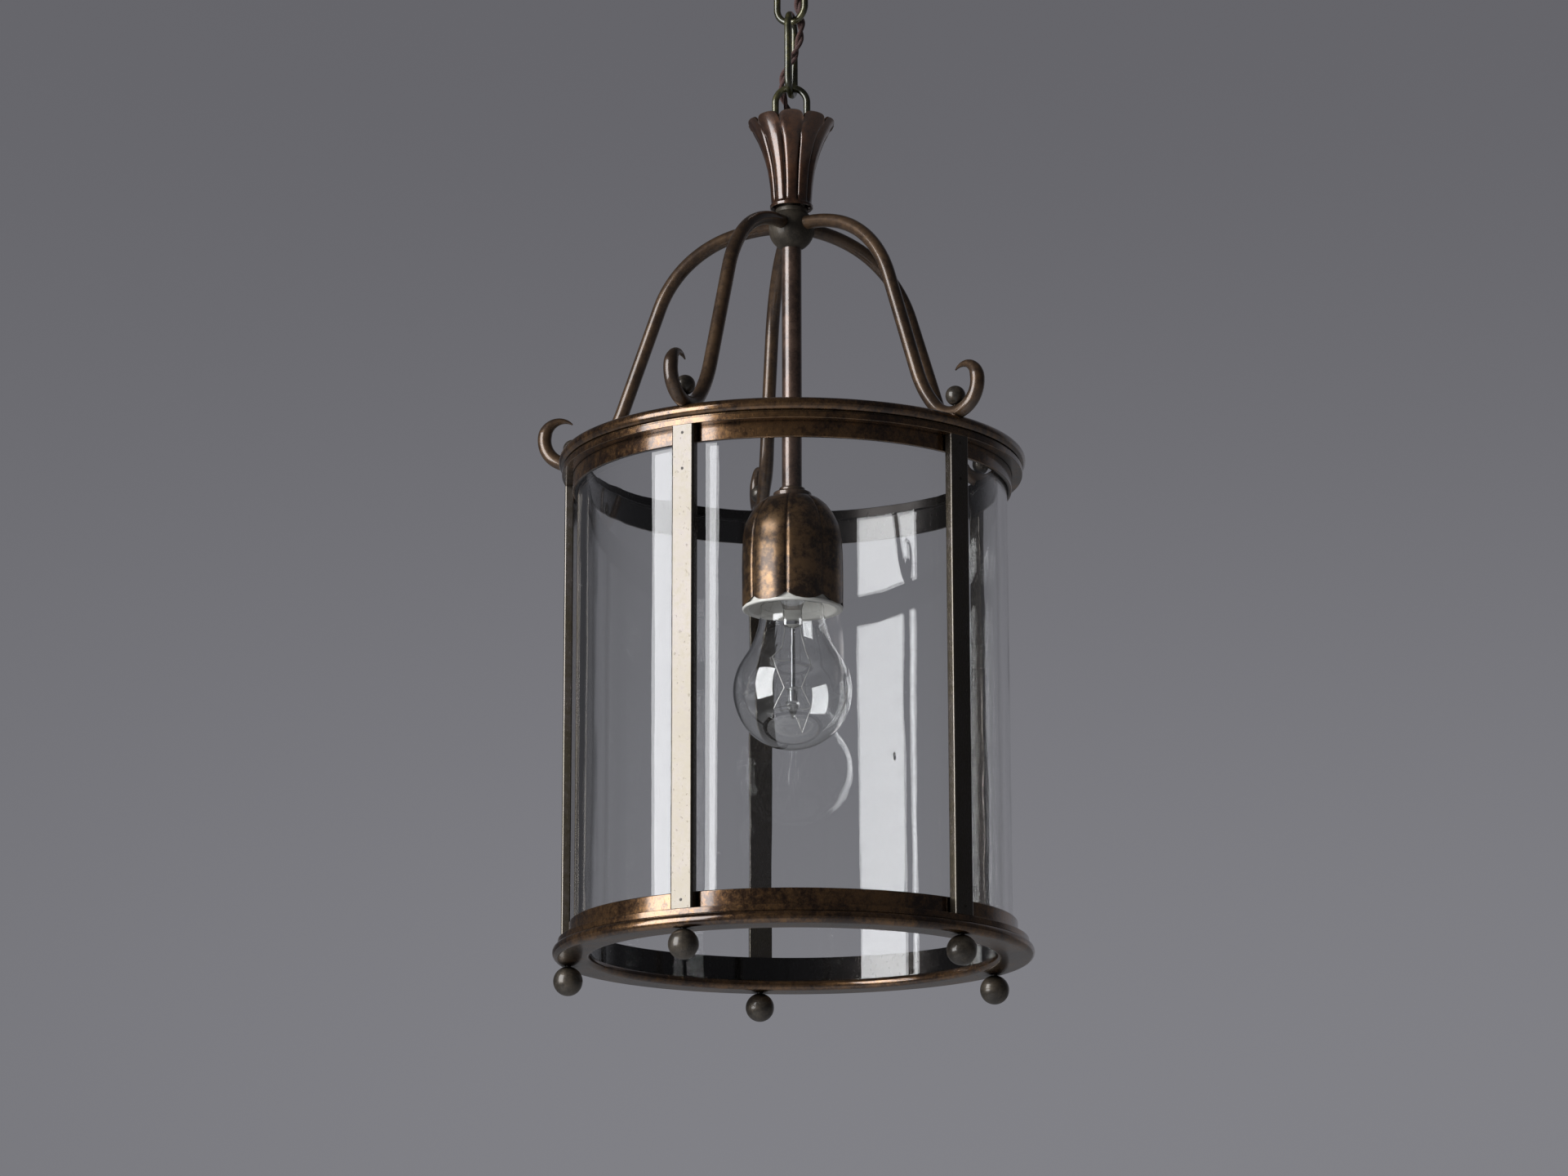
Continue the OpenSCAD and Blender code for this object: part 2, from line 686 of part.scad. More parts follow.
module husk() {
    last = len(husk_profile) - 1;
    full = husk_profile[last][0];
    outside = [for (p = husk_profile)
        let (share = pow(p[0] / full, 6))
        [p[1] * husk_r, -p[0] * husk_h / full, p[2] * seam, husk_notch * share]];
    inside = [for (i = [last : -1 : 1])
        let (p = husk_profile[i], share = pow(p[0] / full, 6), lift = i == last ? 0 : min(i, 4) / 4)
        [p[1] * husk_r - husk_wall, -p[0] * husk_h / full - (1 - lift) * (i == last ? 0 : husk_wall), p[2] * seam,
            husk_notch * share]];
    hole = [[stem_r + fit, -husk_wall, 0, 0], [stem_r + fit, 0, 0, 0]];
    color(bronze)
        translate([0, 0, husk_u])
        rotate([0, 0, husk_turn - 90])
        fluted_shell(concat(outside, inside, hole), flutes, husk_steps);
}

module inner_cup() {
    color(porcelain)
    difference() {
        union() {
            translate([0, 0, cup_rim_u]) cylinder(r = cup_r, h = cup_shoulder_u - cup_rim_u);
            translate([0, 0, cup_shoulder_u]) cylinder(r1 = cup_r, r2 = cup_bore_r + 2, h = cup_top_u - cup_shoulder_u);
        }
        translate([0, 0, cup_rim_u - 0.01])
            cylinder(r1 = cup_mouth_r, r2 = cup_bore_r, h = cup_neck_u - cup_rim_u + 0.01);
        translate([0, 0, cup_neck_u - 1])
            cylinder(r = shell_r + fit, h = cup_top_u - cup_floor - cup_neck_u + 1);
        translate([0, 0, cup_top_u - cup_floor - 1]) cylinder(r = flex_bore, h = cup_floor + 2);
    }
}

module contact_block() {
    color(porcelain)
    translate([0, 0, cup_top_u - cup_floor - block_h]) cylinder(r = shell_r - shell_wall - fit, h = block_h);
}

module centre_contact() {
    color(chain_brass)
    translate([0, 0, cup_top_u - cup_floor - block_h - contact_h]) cylinder(r = contact_r, h = contact_h);
}

module screw_shell() {
    color(chain_brass)
    translate([0, 0, cup_neck_u])
    difference() {
        cylinder(r = shell_r, h = cup_top_u - cup_floor - cup_neck_u);
        translate([0, 0, -1]) cylinder(r = shell_r - shell_wall, h = cup_top_u - cup_floor - cup_neck_u + 2);
    }
}

// Bulb

module bulb_outline(inset) {
    globe = bulb_r - inset;
    flare = bulb_flare_r + inset;
    neck = bulb_neck_r - inset;
    touch = globe / (globe + flare);
    intersection() {
        translate([0, bulb_u]) circle(r = globe, $fn = 96);
        translate([0, bulb_u - bulb_r]) square([bulb_r, bulb_r + touch * flare_rise]);
    }
    difference() {
        translate([0, bulb_u]) square([touch * (neck + flare), flare_rise]);
        translate([neck + flare, bulb_neck_u]) circle(r = flare, $fn = 128);
    }
    polygon([[0, bulb_neck_u - 1], [neck, bulb_neck_u - 1], [neck, bulb_neck_u], [cap_r - cap_wall - inset, cap_u],
        [cap_r - cap_wall - inset, bulb_top_u], [0, bulb_top_u]]);
}

module bulb_glass() {
    color(clear_glass)
    rotate_extrude($fn = 96)
    difference() {
        bulb_outline(0);
        bulb_outline(bulb_wall);
    }
}

module bulb_cap() {
    color(chain_brass)
    difference() {
        union() {
            translate([0, 0, cap_u]) cylinder(r = cap_r, h = cap_h - cap_cone);
            translate([0, 0, cap_top_u - cap_cone]) cylinder(r1 = cap_r, r2 = cap_crown_r, h = cap_cone);
            translate([0, 0, cap_top_u]) cylinder(r = button_r, h = button_h);
        }
        translate([0, 0, cap_u - 1]) cylinder(r = cap_r - cap_wall + pin_fit, h = cap_h - cap_cone);
    }
}

// The inner stem: a flare sealed in the neck, the pinch, then a rod with a thick button at its end
module bulb_stem() {
    flare_r = cap_r - cap_wall - bulb_wall - fit;
    button_u = bulb_u - rod_button[1];
    color(clear_glass)
    rotate_extrude()
    polygon([[0, bulb_top_u - 1], [flare_r, bulb_top_u - 1], [flare_r, bulb_top_u - 2], [pinch_r + 1, cap_u - 2],
        [pinch_r, bulb_u + pinch_z[1]], [pinch_r, bulb_u + pinch_z[0]], [rod_r, bulb_u + pinch_z[0]],
        [rod_r, bulb_u + rod_button[2]], [rod_button[0], bulb_u + rod_button[2] - 1], [rod_button[0], button_u + 1],
        [rod_button[0] - 1, button_u], [0, button_u]]);
}

module filament() {
    last = len(filament_route) - 1;
    color(dark_bronze)
    translate([0, 0, bulb_u])
    rotate([0, 0, flex_turn])
    swept_tube([for (i = [0 : last])
        [filament_route[i], unit(filament_route[min(i + 1, last)] - filament_route[max(i - 1, 0)]), filament_r]],
        6, [0, 1, 0]);
}

// Two lead wires from the pinch to the filament's ends, and a hook wire from the rod to each of its corners
module filament_wires() {
    last = len(filament_route) - 1;
    color(chain_brass)
    translate([0, 0, bulb_u])
    rotate([0, 0, flex_turn]) {
        wire_to([-lead_x, 0, pinch_z[0] - wire_gap], filament_route[0]);
        wire_to([lead_x, 0, pinch_z[0] - wire_gap], filament_route[last]);
        for (corner = [for (i = [1 : last - 1]) filament_route[i]])
            let (root_z = min(max(corner[2], 1 - rod_button[1]), root_top),
                root_r = root_z > rod_button[2] ? rod_r : rod_button[0], out = unit([corner[0], corner[1], 0]))
            wire_to([out[0] * (root_r + wire_gap), out[1] * (root_r + wire_gap), root_z], corner);
    }
}

// A straight wire from one point to just short of the filament's wire at another
module wire_to(from, to) {
    run = to - from;
    translate(from)
        rotate([0, acos(run[2] / norm(run)), atan2(run[1], run[0])])
        cylinder(r = wire_r, h = norm(run) - filament_r - wire_r - wire_gap, $fn = 12);
}

// Nodes

ceiling_rose();
ceiling_eye();
flex_piece(0);  // flex_at_rose
chain_link(0);  // chain_link_1
flex_piece(1);  // flex_along_link_1
chain_link(1);  // chain_link_2
flex_piece(2);  // flex_along_link_2
chain_link(2);  // chain_link_3
flex_piece(3);  // flex_along_link_3
stirrup();
flex_piece(4);  // flex_in_stem
lantern_frame() tulip_crown();
lantern_frame() hub();
lantern_frame() stem_tube();
lantern_frame() arm(0);  // arm_1
lantern_frame() arm(1);  // arm_2
lantern_frame() arm(2);  // arm_3
lantern_frame() arm(3);  // arm_4
lantern_frame() arm(4);  // arm_5
lantern_frame() arm_ball(0);  // arm_ball_1
lantern_frame() arm_ball(1);  // arm_ball_2
lantern_frame() arm_ball(2);  // arm_ball_3
lantern_frame() arm_ball(3);  // arm_ball_4
lantern_frame() arm_ball(4);  // arm_ball_5
lantern_frame() arm_ball_pins();
lantern_frame() top_ring();
lantern_frame() top_collar();
lantern_frame() low_collar();
lantern_frame() low_band();
lantern_frame() base_ring();
lantern_frame() upright(0);  // upright_1
lantern_frame() upright(1);  // upright_2
lantern_frame() upright(2);  // upright_3
lantern_frame() upright(3);  // upright_4
lantern_frame() upright(4);  // upright_5
lantern_frame() upright_pins();
lantern_frame() foot_ball(0);  // foot_ball_1
lantern_frame() foot_ball(1);  // foot_ball_2
lantern_frame() foot_ball(2);  // foot_ball_3
lantern_frame() foot_ball(3);  // foot_ball_4
lantern_frame() foot_ball(4);  // foot_ball_5
lantern_frame() foot_studs();
lantern_frame() glass_cylinder();
lantern_frame() holder_collar();
lantern_frame() husk();
lantern_frame() inner_cup();
lantern_frame() contact_block();
lantern_frame() centre_contact();
lantern_frame() screw_shell();
lantern_frame() bulb_glass();
lantern_frame() bulb_cap();
lantern_frame() bulb_stem();
lantern_frame() filament();
lantern_frame() filament_wires();
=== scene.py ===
# Ceiling lantern: the looks of each piece, in metres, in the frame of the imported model.
# The ceiling is the plane z = 0 and the lantern hangs below it.
import json
import math

import bmesh
import bpy
from mathutils import Matrix, Vector

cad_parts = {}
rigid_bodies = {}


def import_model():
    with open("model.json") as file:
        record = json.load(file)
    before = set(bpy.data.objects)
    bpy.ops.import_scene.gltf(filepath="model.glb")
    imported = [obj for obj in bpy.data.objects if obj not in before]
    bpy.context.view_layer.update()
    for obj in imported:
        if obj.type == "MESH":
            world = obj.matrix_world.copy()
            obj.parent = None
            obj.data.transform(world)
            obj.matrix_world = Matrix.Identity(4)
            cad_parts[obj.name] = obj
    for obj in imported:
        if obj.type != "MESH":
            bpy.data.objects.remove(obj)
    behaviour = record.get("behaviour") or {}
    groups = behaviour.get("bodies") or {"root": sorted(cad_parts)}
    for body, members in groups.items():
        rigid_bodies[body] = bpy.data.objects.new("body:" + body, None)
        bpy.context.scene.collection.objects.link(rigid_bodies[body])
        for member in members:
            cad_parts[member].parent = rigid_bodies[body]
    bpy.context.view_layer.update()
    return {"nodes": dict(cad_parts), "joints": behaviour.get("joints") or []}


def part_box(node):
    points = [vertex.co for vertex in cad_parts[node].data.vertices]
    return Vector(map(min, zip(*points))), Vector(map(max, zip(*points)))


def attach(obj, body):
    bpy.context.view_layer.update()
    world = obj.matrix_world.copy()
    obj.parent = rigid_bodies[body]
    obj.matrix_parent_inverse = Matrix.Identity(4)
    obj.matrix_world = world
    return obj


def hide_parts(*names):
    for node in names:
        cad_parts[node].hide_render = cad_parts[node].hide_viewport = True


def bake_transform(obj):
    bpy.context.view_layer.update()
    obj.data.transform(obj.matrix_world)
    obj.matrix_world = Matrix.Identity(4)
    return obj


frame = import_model()

nodes = frame["nodes"]
mm = 0.001


# Camera and studio
# The camera looks up at the lantern from below. One large soft lamp stands at the left and the rest of the
# room is dim, with a plain grey wall behind and a pale floor below that is evenly lit.

VIEW_TURN = 27.17
AIM_TURN = 27.281
AIM_RISE = 13.39
LEAN = -0.126
CAMERA_REACH = 2.2234
CAMERA_HEIGHT = -0.9163
SENSOR = 36
LENS = 103.73


def flat_direction(degrees):
    """The level direction at this turn from -Y, towards +X."""
    return Vector((math.sin(math.radians(degrees)), -math.cos(math.radians(degrees)), 0))


def look_along(ahead_turn, rise, lean):
    """A turn matrix for a camera that looks from that side with this rise and lean."""
    flat = -flat_direction(ahead_turn)
    side = Vector((-flat_direction(ahead_turn).y, flat_direction(ahead_turn).x, 0))
    upright = Vector((0, 0, 1))
    ahead = math.cos(rise) * flat + math.sin(rise) * upright
    top = math.cos(rise) * upright - math.sin(rise) * flat
    right = math.cos(lean) * side + math.sin(lean) * top
    above = math.cos(lean) * top - math.sin(lean) * side
    return Matrix((right, above, -ahead)).transposed().to_4x4()


lens = bpy.data.cameras.new("view")
lens.sensor_width = SENSOR
lens.lens = LENS
lens.clip_start = 0.05
lens.clip_end = 50
camera = bpy.data.objects.new("view", lens)
bpy.context.scene.collection.objects.link(camera)
camera.matrix_world = Matrix.Translation(
    flat_direction(VIEW_TURN) * CAMERA_REACH + Vector((0, 0, CAMERA_HEIGHT))
) @ look_along(AIM_TURN, math.radians(AIM_RISE), math.radians(LEAN))
bpy.context.scene.camera = camera
bpy.context.scene.view_settings.view_transform = "Standard"

LAMP_TURN = -58
LAMP_REACH = 1.5
LAMP_HEIGHT = -0.19
LAMP_WIDE = 1.015
LAMP_TALL = 1.46
LAMP_WATTS = 29.5
LANTERN_MIDDLE = Vector((0, 0, -0.45))

softbox = bpy.data.lights.new("softbox", "AREA")
softbox.shape = "RECTANGLE"
softbox.size = LAMP_WIDE
softbox.size_y = LAMP_TALL
softbox.energy = LAMP_WATTS
softbox.color = (0.975, 0.98, 1.0)
lamp = bpy.data.objects.new("softbox", softbox)
bpy.context.scene.collection.objects.link(lamp)
lamp.location = flat_direction(VIEW_TURN + LAMP_TURN) * LAMP_REACH + Vector((0, 0, LAMP_HEIGHT))
lamp.rotation_euler = (LANTERN_MIDDLE - lamp.location).to_track_quat("-Z", "Y").to_euler()
lamp.visible_camera = False

WALL_LOW = (0.218, 0.218, 0.238, 1)
WALL_HIGH = (0.13, 0.129, 0.143, 1)
WALL_LEFT = (0.14, 0.14, 0.155, 1)
WALL_FADE = (0.1, 0.36)
SIDE_FADE = (-0.02, 0.5)
ROOM_GREY = (0.04, 0.04, 0.044, 1)
WALL_EDGE = (0.75, 0.91)
DARK_EDGE = (0.957, 0.972)


def slanting(degrees, rise):
    """The direction away from a viewer at this turn, raised by this angle."""
    return -flat_direction(degrees) * math.cos(math.radians(rise)) + Vector((0, 0, math.sin(math.radians(rise))))


def blend_by(share, first, second):
    """A mix of two colours in the world's nodes."""
    tint = sky.nodes.new("ShaderNodeMix")
    tint.data_type = "RGBA"
    sky.links.new(share, tint.inputs[0])
    for socket, colour in ((tint.inputs[6], first), (tint.inputs[7], second)):
        if isinstance(colour, bpy.types.NodeSocket):
            sky.links.new(colour, socket)
        else:
            socket.default_value = colour
    return tint.outputs[2]


def fade_along(direction, start, end):
    """0 to 1 as the view into the room turns towards a direction."""
    facing = sky.nodes.new("ShaderNodeVectorMath")
    facing.operation = "DOT_PRODUCT"
    facing.inputs[1].default_value = direction
    sky.links.new(around.outputs["Generated"], facing.inputs[0])
    fade = sky.nodes.new("ShaderNodeMapRange")
    fade.interpolation_type = "SMOOTHSTEP"
    fade.inputs["From Min"].default_value = start
    fade.inputs["From Max"].default_value = end
    sky.links.new(facing.outputs["Value"], fade.inputs["Value"])
    return fade.outputs["Result"]


room = bpy.data.worlds.new("room")
bpy.context.scene.world = room
room.use_nodes = True
sky = room.node_tree
wall = sky.nodes["Background"]
dim = sky.nodes.new("ShaderNodeBackground")
around = sky.nodes.new("ShaderNodeTexCoord")
wall_grey = blend_by(fade_along((0, 0, 1), *WALL_FADE), WALL_LOW, WALL_HIGH)
wall_grey = blend_by(fade_along(-flat_direction(VIEW_TURN + 90), *SIDE_FADE), wall_grey, WALL_LEFT)
path = sky.nodes.new("ShaderNodeLightPath")
through = blend_by(fade_along(slanting(VIEW_TURN + 27, 13), *DARK_EDGE), wall_grey, ROOM_GREY)
sky.links.new(blend_by(path.outputs["Is Camera Ray"], through, wall_grey), wall.inputs["Color"])
reflected = fade_along(slanting(VIEW_TURN - 20, 12), *WALL_EDGE)
sky.links.new(blend_by(reflected, ROOM_GREY, wall_grey), dim.inputs["Color"])
mirrored = sky.nodes.new("ShaderNodeMath")
mirrored.operation = "SUBTRACT"
mirrored.use_clamp = True
sky.links.new(path.outputs["Is Transmission Ray"], mirrored.inputs[0])
sky.links.new(path.outputs["Glossy Depth"], mirrored.inputs[1])
seen = sky.nodes.new("ShaderNodeMath")
seen.operation = "MAXIMUM"
sky.links.new(path.outputs["Is Camera Ray"], seen.inputs[0])
sky.links.new(mirrored.outputs[0], seen.inputs[1])
choose = sky.nodes.new("ShaderNodeMixShader")
sky.links.new(seen.outputs[0], choose.inputs[0])
sky.links.new(dim.outputs[0], choose.inputs[1])
sky.links.new(wall.outputs[0], choose.inputs[2])
sky.links.new(choose.outputs[0], sky.nodes["World Output"].inputs["Surface"])

FLOOR_HEIGHT = -1.7
FLOOR_SIDE = 60
FLOOR_GREY = (0.7, 0.7, 0.71, 1)
FLOOR_GLOW = 0.1
bpy.ops.object.select_all(action="DESELECT")
bpy.ops.mesh.primitive_plane_add(size=FLOOR_SIDE, location=(0, 0, FLOOR_HEIGHT))
floor = bpy.context.object
floor.name = "floor"
floor_paint = bpy.data.materials.new("floor_paint")
floor_paint.use_nodes = True
for socket, value in (
    ("Base Color", FLOOR_GREY), ("Roughness", 0.8), ("Emission Color", FLOOR_GREY), ("Emission Strength", FLOOR_GLOW),
):
    floor_paint.node_tree.nodes["Principled BSDF"].inputs[socket].default_value = value
floor.data.materials.append(floor_paint)


# Ceiling rose
# A spun brass rose with a flat flange and a small dome. Its flange is bored for two screws into the
# ceiling, and its thick floor is bored for the eye that the chain hangs on and for the flex.


class Tone:
    """A number in a material's nodes, so that shader maths is written as plain sums."""

    def __init__(self, finish, socket):
        self.finish = finish
        self.socket = socket

    def sum(self, operation, first, second=0.0):
        maths = self.finish.node("ShaderNodeMath", {"operation": operation}, {0: first, 1: second})
        return Tone(self.finish, maths.outputs[0])

    def __add__(self, other):
        return self.sum("ADD", self, other)

    def __radd__(self, other):
        return self.sum("ADD", other, self)

    def __sub__(self, other):
        return self.sum("SUBTRACT", self, other)

    def __rsub__(self, other):
        return self.sum("SUBTRACT", other, self)

    def __mul__(self, other):
        return self.sum("MULTIPLY", self, other)

    def __rmul__(self, other):
        return self.sum("MULTIPLY", other, self)

    def __truediv__(self, other):
        return self.sum("DIVIDE", self, other)

    def __rtruediv__(self, other):
        return self.sum("DIVIDE", other, self)

    def __pow__(self, other):
        return self.sum("POWER", self, other)

    def sine(self):
        return self.sum("SINE", self)

    def between(self, low, high):
        """0 below low, 1 above high, with a smooth rise between."""
        rise = self.finish.node(
            "ShaderNodeMapRange",
            {"interpolation_type": "SMOOTHSTEP"},
            {"Value": self, "From Min": low, "From Max": high},
        )
        return Tone(self.finish, rise.outputs["Result"])


class Finish:
    """One procedural material: a Principled shader and the nodes that vary it."""

    def __init__(self, name, **fixed):
        self.material = bpy.data.materials.new(name)
        self.material.use_nodes = True
        self.tree = self.material.node_tree
        self.shader = self.tree.nodes["Principled BSDF"]
        for socket, value in fixed.items():
            self.shader.inputs[socket.replace("_", " ")].default_value = value
        self.place = self.node("ShaderNodeTexCoord").outputs["Object"]

    def node(self, kind, settings=None, feeds=None):
        made = self.tree.nodes.new(kind)
        for setting, value in (settings or {}).items():
            setattr(made, setting, value)
        for socket, value in (feeds or {}).items():
            self.feed(made.inputs[socket], value)
        return made

    def feed(self, socket, value):
        if isinstance(value, Tone):
            value = value.socket
        if isinstance(value, bpy.types.NodeSocket):
            self.tree.links.new(value, socket)
        else:
            socket.default_value = value

    def noise(self, size, detail=3.0, roughness=0.55, stretch=(1, 1, 1), place=None):
        """Noise whose blotches are about this size across, in metres."""
        spot = self.node("ShaderNodeMapping", {}, {"Vector": place or self.place, "Scale": stretch})
        cloud = self.node(
            "ShaderNodeTexNoise",
            {},
            {"Vector": spot.outputs[0], "Scale": 1 / size, "Detail": detail, "Roughness": roughness},
        )
        return Tone(self, cloud.outputs[0])

    def mix(self, share, first, second):
        blend = self.node("ShaderNodeMix", {"data_type": "RGBA"}, {0: share, 6: first, 7: second})
        return blend.outputs[2]

    def raised(self, height, depth, strength=1.0):
        """A Bump node on the shader's normal, for a relief of this depth in metres."""
        bump = self.node("ShaderNodeBump", {}, {"Height": height, "Distance": depth, "Strength": strength})
        self.feed(self.shader.inputs["Normal"], bump.outputs[0])

    def flat_place(self):
        """The place on the surface without its height."""
        return self.node("ShaderNodeMapping", {}, {"Vector": self.place, "Scale": (1, 1, 0)}).outputs[0]

    def edges(self, width):
        """How far the surface turns within this width: near 0 on a flat and higher along an edge."""
        soft = self.node("ShaderNodeBevel", {"samples": 4}, {"Radius": width})
        plain = self.node("ShaderNodeNewGeometry")
        match = self.node(
            "ShaderNodeVectorMath",
            {"operation": "DOT_PRODUCT"},
            {0: soft.outputs[0], 1: plain.outputs["Normal"]},
        )
        return 1 - Tone(self, match.outputs["Value"])

    def hollows(self, reach):
        """How far the surface is shut in within this reach: 0 in the open and near 1 deep in a corner."""
        open_sky = self.node("ShaderNodeAmbientOcclusion", {"samples": 6}, {"Distance": reach})
        return 1 - Tone(self, open_sky.outputs["AO"])


def patina(
    name,
    deep,
    warm,
    bare,
    grain=(0.36, 0.5),
    wear=0.6,
    patch=0.02,
    gloss=1.0,
    relief=0.4,
    film=1.6,
    black_within=None,
    haze=0.12,
    metal=0.5,
):
    """Browned and waxed brass: cloudy brown under a thin gloss, rubbed bright on its edges, and dark in its hollows,
    partly from darker patina and partly from painted shade.
    """
    finish = Finish(name, Metallic=metal, Coat_Roughness=haze, Coat_IOR=film)
    cloud = finish.noise(patch, 3)
    mottle = finish.noise(0.0035, 3, 0.65)
    speck = finish.noise(0.0009, 2, 0.7)
    shade = (0.45 * cloud + 0.35 * mottle + 0.2 * speck).between(0.4, 0.62)
    worn = (finish.edges(0.5 * mm) + 0.1 * (mottle - 0.5)).between(0.02, 0.2) * wear
    colour = finish.mix(shade, (*deep, 1), (*warm, 1))
    colour = finish.mix(worn, colour, (*bare, 1))
    # Painted shade: occlusion finds the hollows, which are painted towards near-black and lose their gloss. This stands
    # for the shade that falls there as well as for darker patina in them.
    darkening = finish.hollows(2.5 * mm).between(0.2, 0.7)
    colour = finish.mix(0.85 * darkening, colour, (0.012, 0.009, 0.007, 1))
    # Painted shade: within this radius the colour is painted near-black and the gloss is taken away, for the shade on
    # the collars' inner faces.
    if black_within:
        radius = finish.node("ShaderNodeVectorMath", {"operation": "LENGTH"}, {0: finish.flat_place()})
        inside = 1 - Tone(finish, radius.outputs["Value"]).between(black_within - 0.1 * mm, black_within + 0.1 * mm)
        colour = finish.mix(inside, colour, (0.012, 0.01, 0.009, 1))
    finish.feed(finish.shader.inputs["Base Color"], colour)
    scratch = finish.noise(0.0016, 1, 0.5, (1, 9, 0.6)).between(0.66, 0.72)
    finish.feed(finish.shader.inputs["Roughness"], grain[0] + (grain[1] - grain[0]) * mottle + 0.1 * scratch)
    wax = gloss * (1 - 0.45 * (0.6 * mottle + 0.4 * speck).between(0.5, 0.72) - 0.3 * scratch) * (1 - 0.8 * darkening)
    if black_within:
        wax = wax * (1 - 0.95 * inside)
    finish.feed(finish.shader.inputs["Coat Weight"], wax)
    finish.raised(0.7 * speck + 0.3 * mottle - 0.3 * scratch, 0.03 * mm, relief)
    return finish.material


def start_piece():
    """Leaves nothing selected, so that an operator acts on the new piece alone."""
    bpy.ops.object.select_all(action="DESELECT")


def eased(corners, arc_steps=5):
    """A closed outline whose corners, (radius, height, ease), are rounded off by their own small radius."""
    outline = []
    for i, (radius, height, ease) in enumerate(corners):
        here = Vector((radius, height))
        if not ease:
            outline.append(here)
            continue
        back = (Vector(corners[i - 1][:2]) - here).normalized()
        on = (Vector(corners[(i + 1) % len(corners)][:2]) - here).normalized()
        half = back.angle(on) / 2
        middle = here + (back + on).normalized() * ease / math.sin(half)
        spoke = here + back * ease / math.tan(half) - middle
        swing = spoke.angle_signed(here + on * ease / math.tan(half) - middle)
        outline += [
            middle + Matrix.Rotation(-swing * k / arc_steps, 2) @ spoke for k in range(arc_steps + 1)
        ]
    return outline + [outline[0]]


def turned(name, outline, steps=128):
    """Turns an outline of (radius, height) points on the lathe: a hoop is drawn out point by point."""
    start_piece()
    radius, height = outline[0]
    bpy.ops.mesh.primitive_circle_add(vertices=steps, radius=radius, location=(0, 0, height))
    piece = bpy.context.object
    piece.name = name
    bpy.ops.object.transform_apply(location=True, rotation=False, scale=False)
    bpy.ops.object.mode_set(mode="EDIT")
    bpy.ops.mesh.select_mode(type="EDGE")
    bpy.ops.mesh.select_all(action="SELECT")
    for next_radius, next_height in outline[1:]:
        bpy.ops.mesh.extrude_edges_move(TRANSFORM_OT_translate={"value": (0, 0, next_height - height)})
        if next_radius == 0:
            bpy.ops.mesh.merge(type="CENTER")
        else:
            share = next_radius / radius
            bpy.ops.transform.resize(value=(share, share, 1), center_override=(0, 0, next_height))
        radius, height = next_radius, next_height
    bpy.ops.mesh.select_all(action="SELECT")
    bpy.ops.mesh.remove_doubles(threshold=1e-6)
    bpy.ops.mesh.normals_make_consistent(inside=False)
    bpy.ops.object.mode_set(mode="OBJECT")
    bpy.ops.object.shade_smooth_by_angle(angle=math.radians(35))
    return piece


def even_out(piece):
    """Lets the wide faces set the shading, so that a flat or a plain wall looks true up to its edges."""
    start_piece()
    piece.select_set(True)
    bpy.context.view_layer.objects.active = piece
    true = piece.modifiers.new("true", "WEIGHTED_NORMAL")
    true.weight = 100
    true.keep_sharp = True
    bpy.ops.object.modifier_apply(modifier="true")
    return piece


def fit_out(piece, material, body, slot, *stands_for):
    """Gives a piece its finish, the body it rides on and the CAD nodes it stands for."""
    piece.data.materials.clear()
    piece.data.materials.append(material)
    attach(piece, body)
    if stands_for:
        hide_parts(*stands_for)
    return piece


def finish_node(material, *names):
    """Gives CAD nodes that stay as they are their finish."""
    for name in names:
        nodes[name].data.materials.clear()
        nodes[name].data.materials.append(material)


SCREW_SPAN = 60 * mm
SCREW_HOLE_R = 2.2 * mm
FLEX_HOLE_R = 2.6 * mm
FLEX_TURN = 27
FLEX_SPOT = Vector((9.5, 3, 0)) * mm

rose_line = eased(
    [
        (r * mm, z * mm, e * mm)
        for r, z, e in (
            (16, 0, 0.3), (38, 0, 0.2), (38, -4, 1.9), (20.8, -4, 1.8), (19.3, -12, 12), (13.2, -21, 10),
            (6.6, -24, 3), (1.85, -24, 0), (1.85, -20, 0), (12, -20, 1), (16, -11.2, 1),
        )
    ]
)
rose = turned("spun_rose", rose_line)
flex_hole = Matrix.Rotation(math.radians(FLEX_TURN), 3, "Z") @ FLEX_SPOT
for spot, radius in (
    (Vector((SCREW_SPAN / 2, 0, 0)), SCREW_HOLE_R), (Vector((-SCREW_SPAN / 2, 0, 0)), SCREW_HOLE_R), (flex_hole, FLEX_HOLE_R)
):
    start_piece()
    bpy.ops.mesh.primitive_cylinder_add(vertices=32, radius=radius, depth=60 * mm, location=spot)
    drill = bpy.context.object
    start_piece()
    rose.select_set(True)
    bpy.context.view_layer.objects.active = rose
    bore = rose.modifiers.new("bore", "BOOLEAN")
    bore.object = drill
    bpy.ops.object.modifier_apply(modifier="bore")
    bpy.data.objects.remove(drill)
bpy.ops.object.shade_smooth_by_angle(angle=math.radians(35))
rose_bronze = patina("rose_bronze", (0.05, 0.03, 0.018), (0.13, 0.075, 0.042), (0.34, 0.25, 0.15))
fit_out(even_out(rose), rose_bronze, "ceiling", "bronze_patina", "ceiling_rose")


# Ceiling eye and chain
# The eye and the three links are bent from drawn brass wire, and each link hangs crosswise in the last.
# The brass has gone green-brown, and it is bright where the links rub.

chain_brass = patina(
    "chain_brass", (0.036, 0.037, 0.02), (0.15, 0.138, 0.056), (0.42, 0.38, 0.2), (0.24, 0.36), 0.5, 0.012, 1.0, 0.12
)
finish_node(chain_brass, "ceiling_eye")

LINK_BEND = 8.2 * mm
LINK_LEG = 27.4 * mm
LINK_WIRE = 3.6 * mm
LINK_STEPS = 56


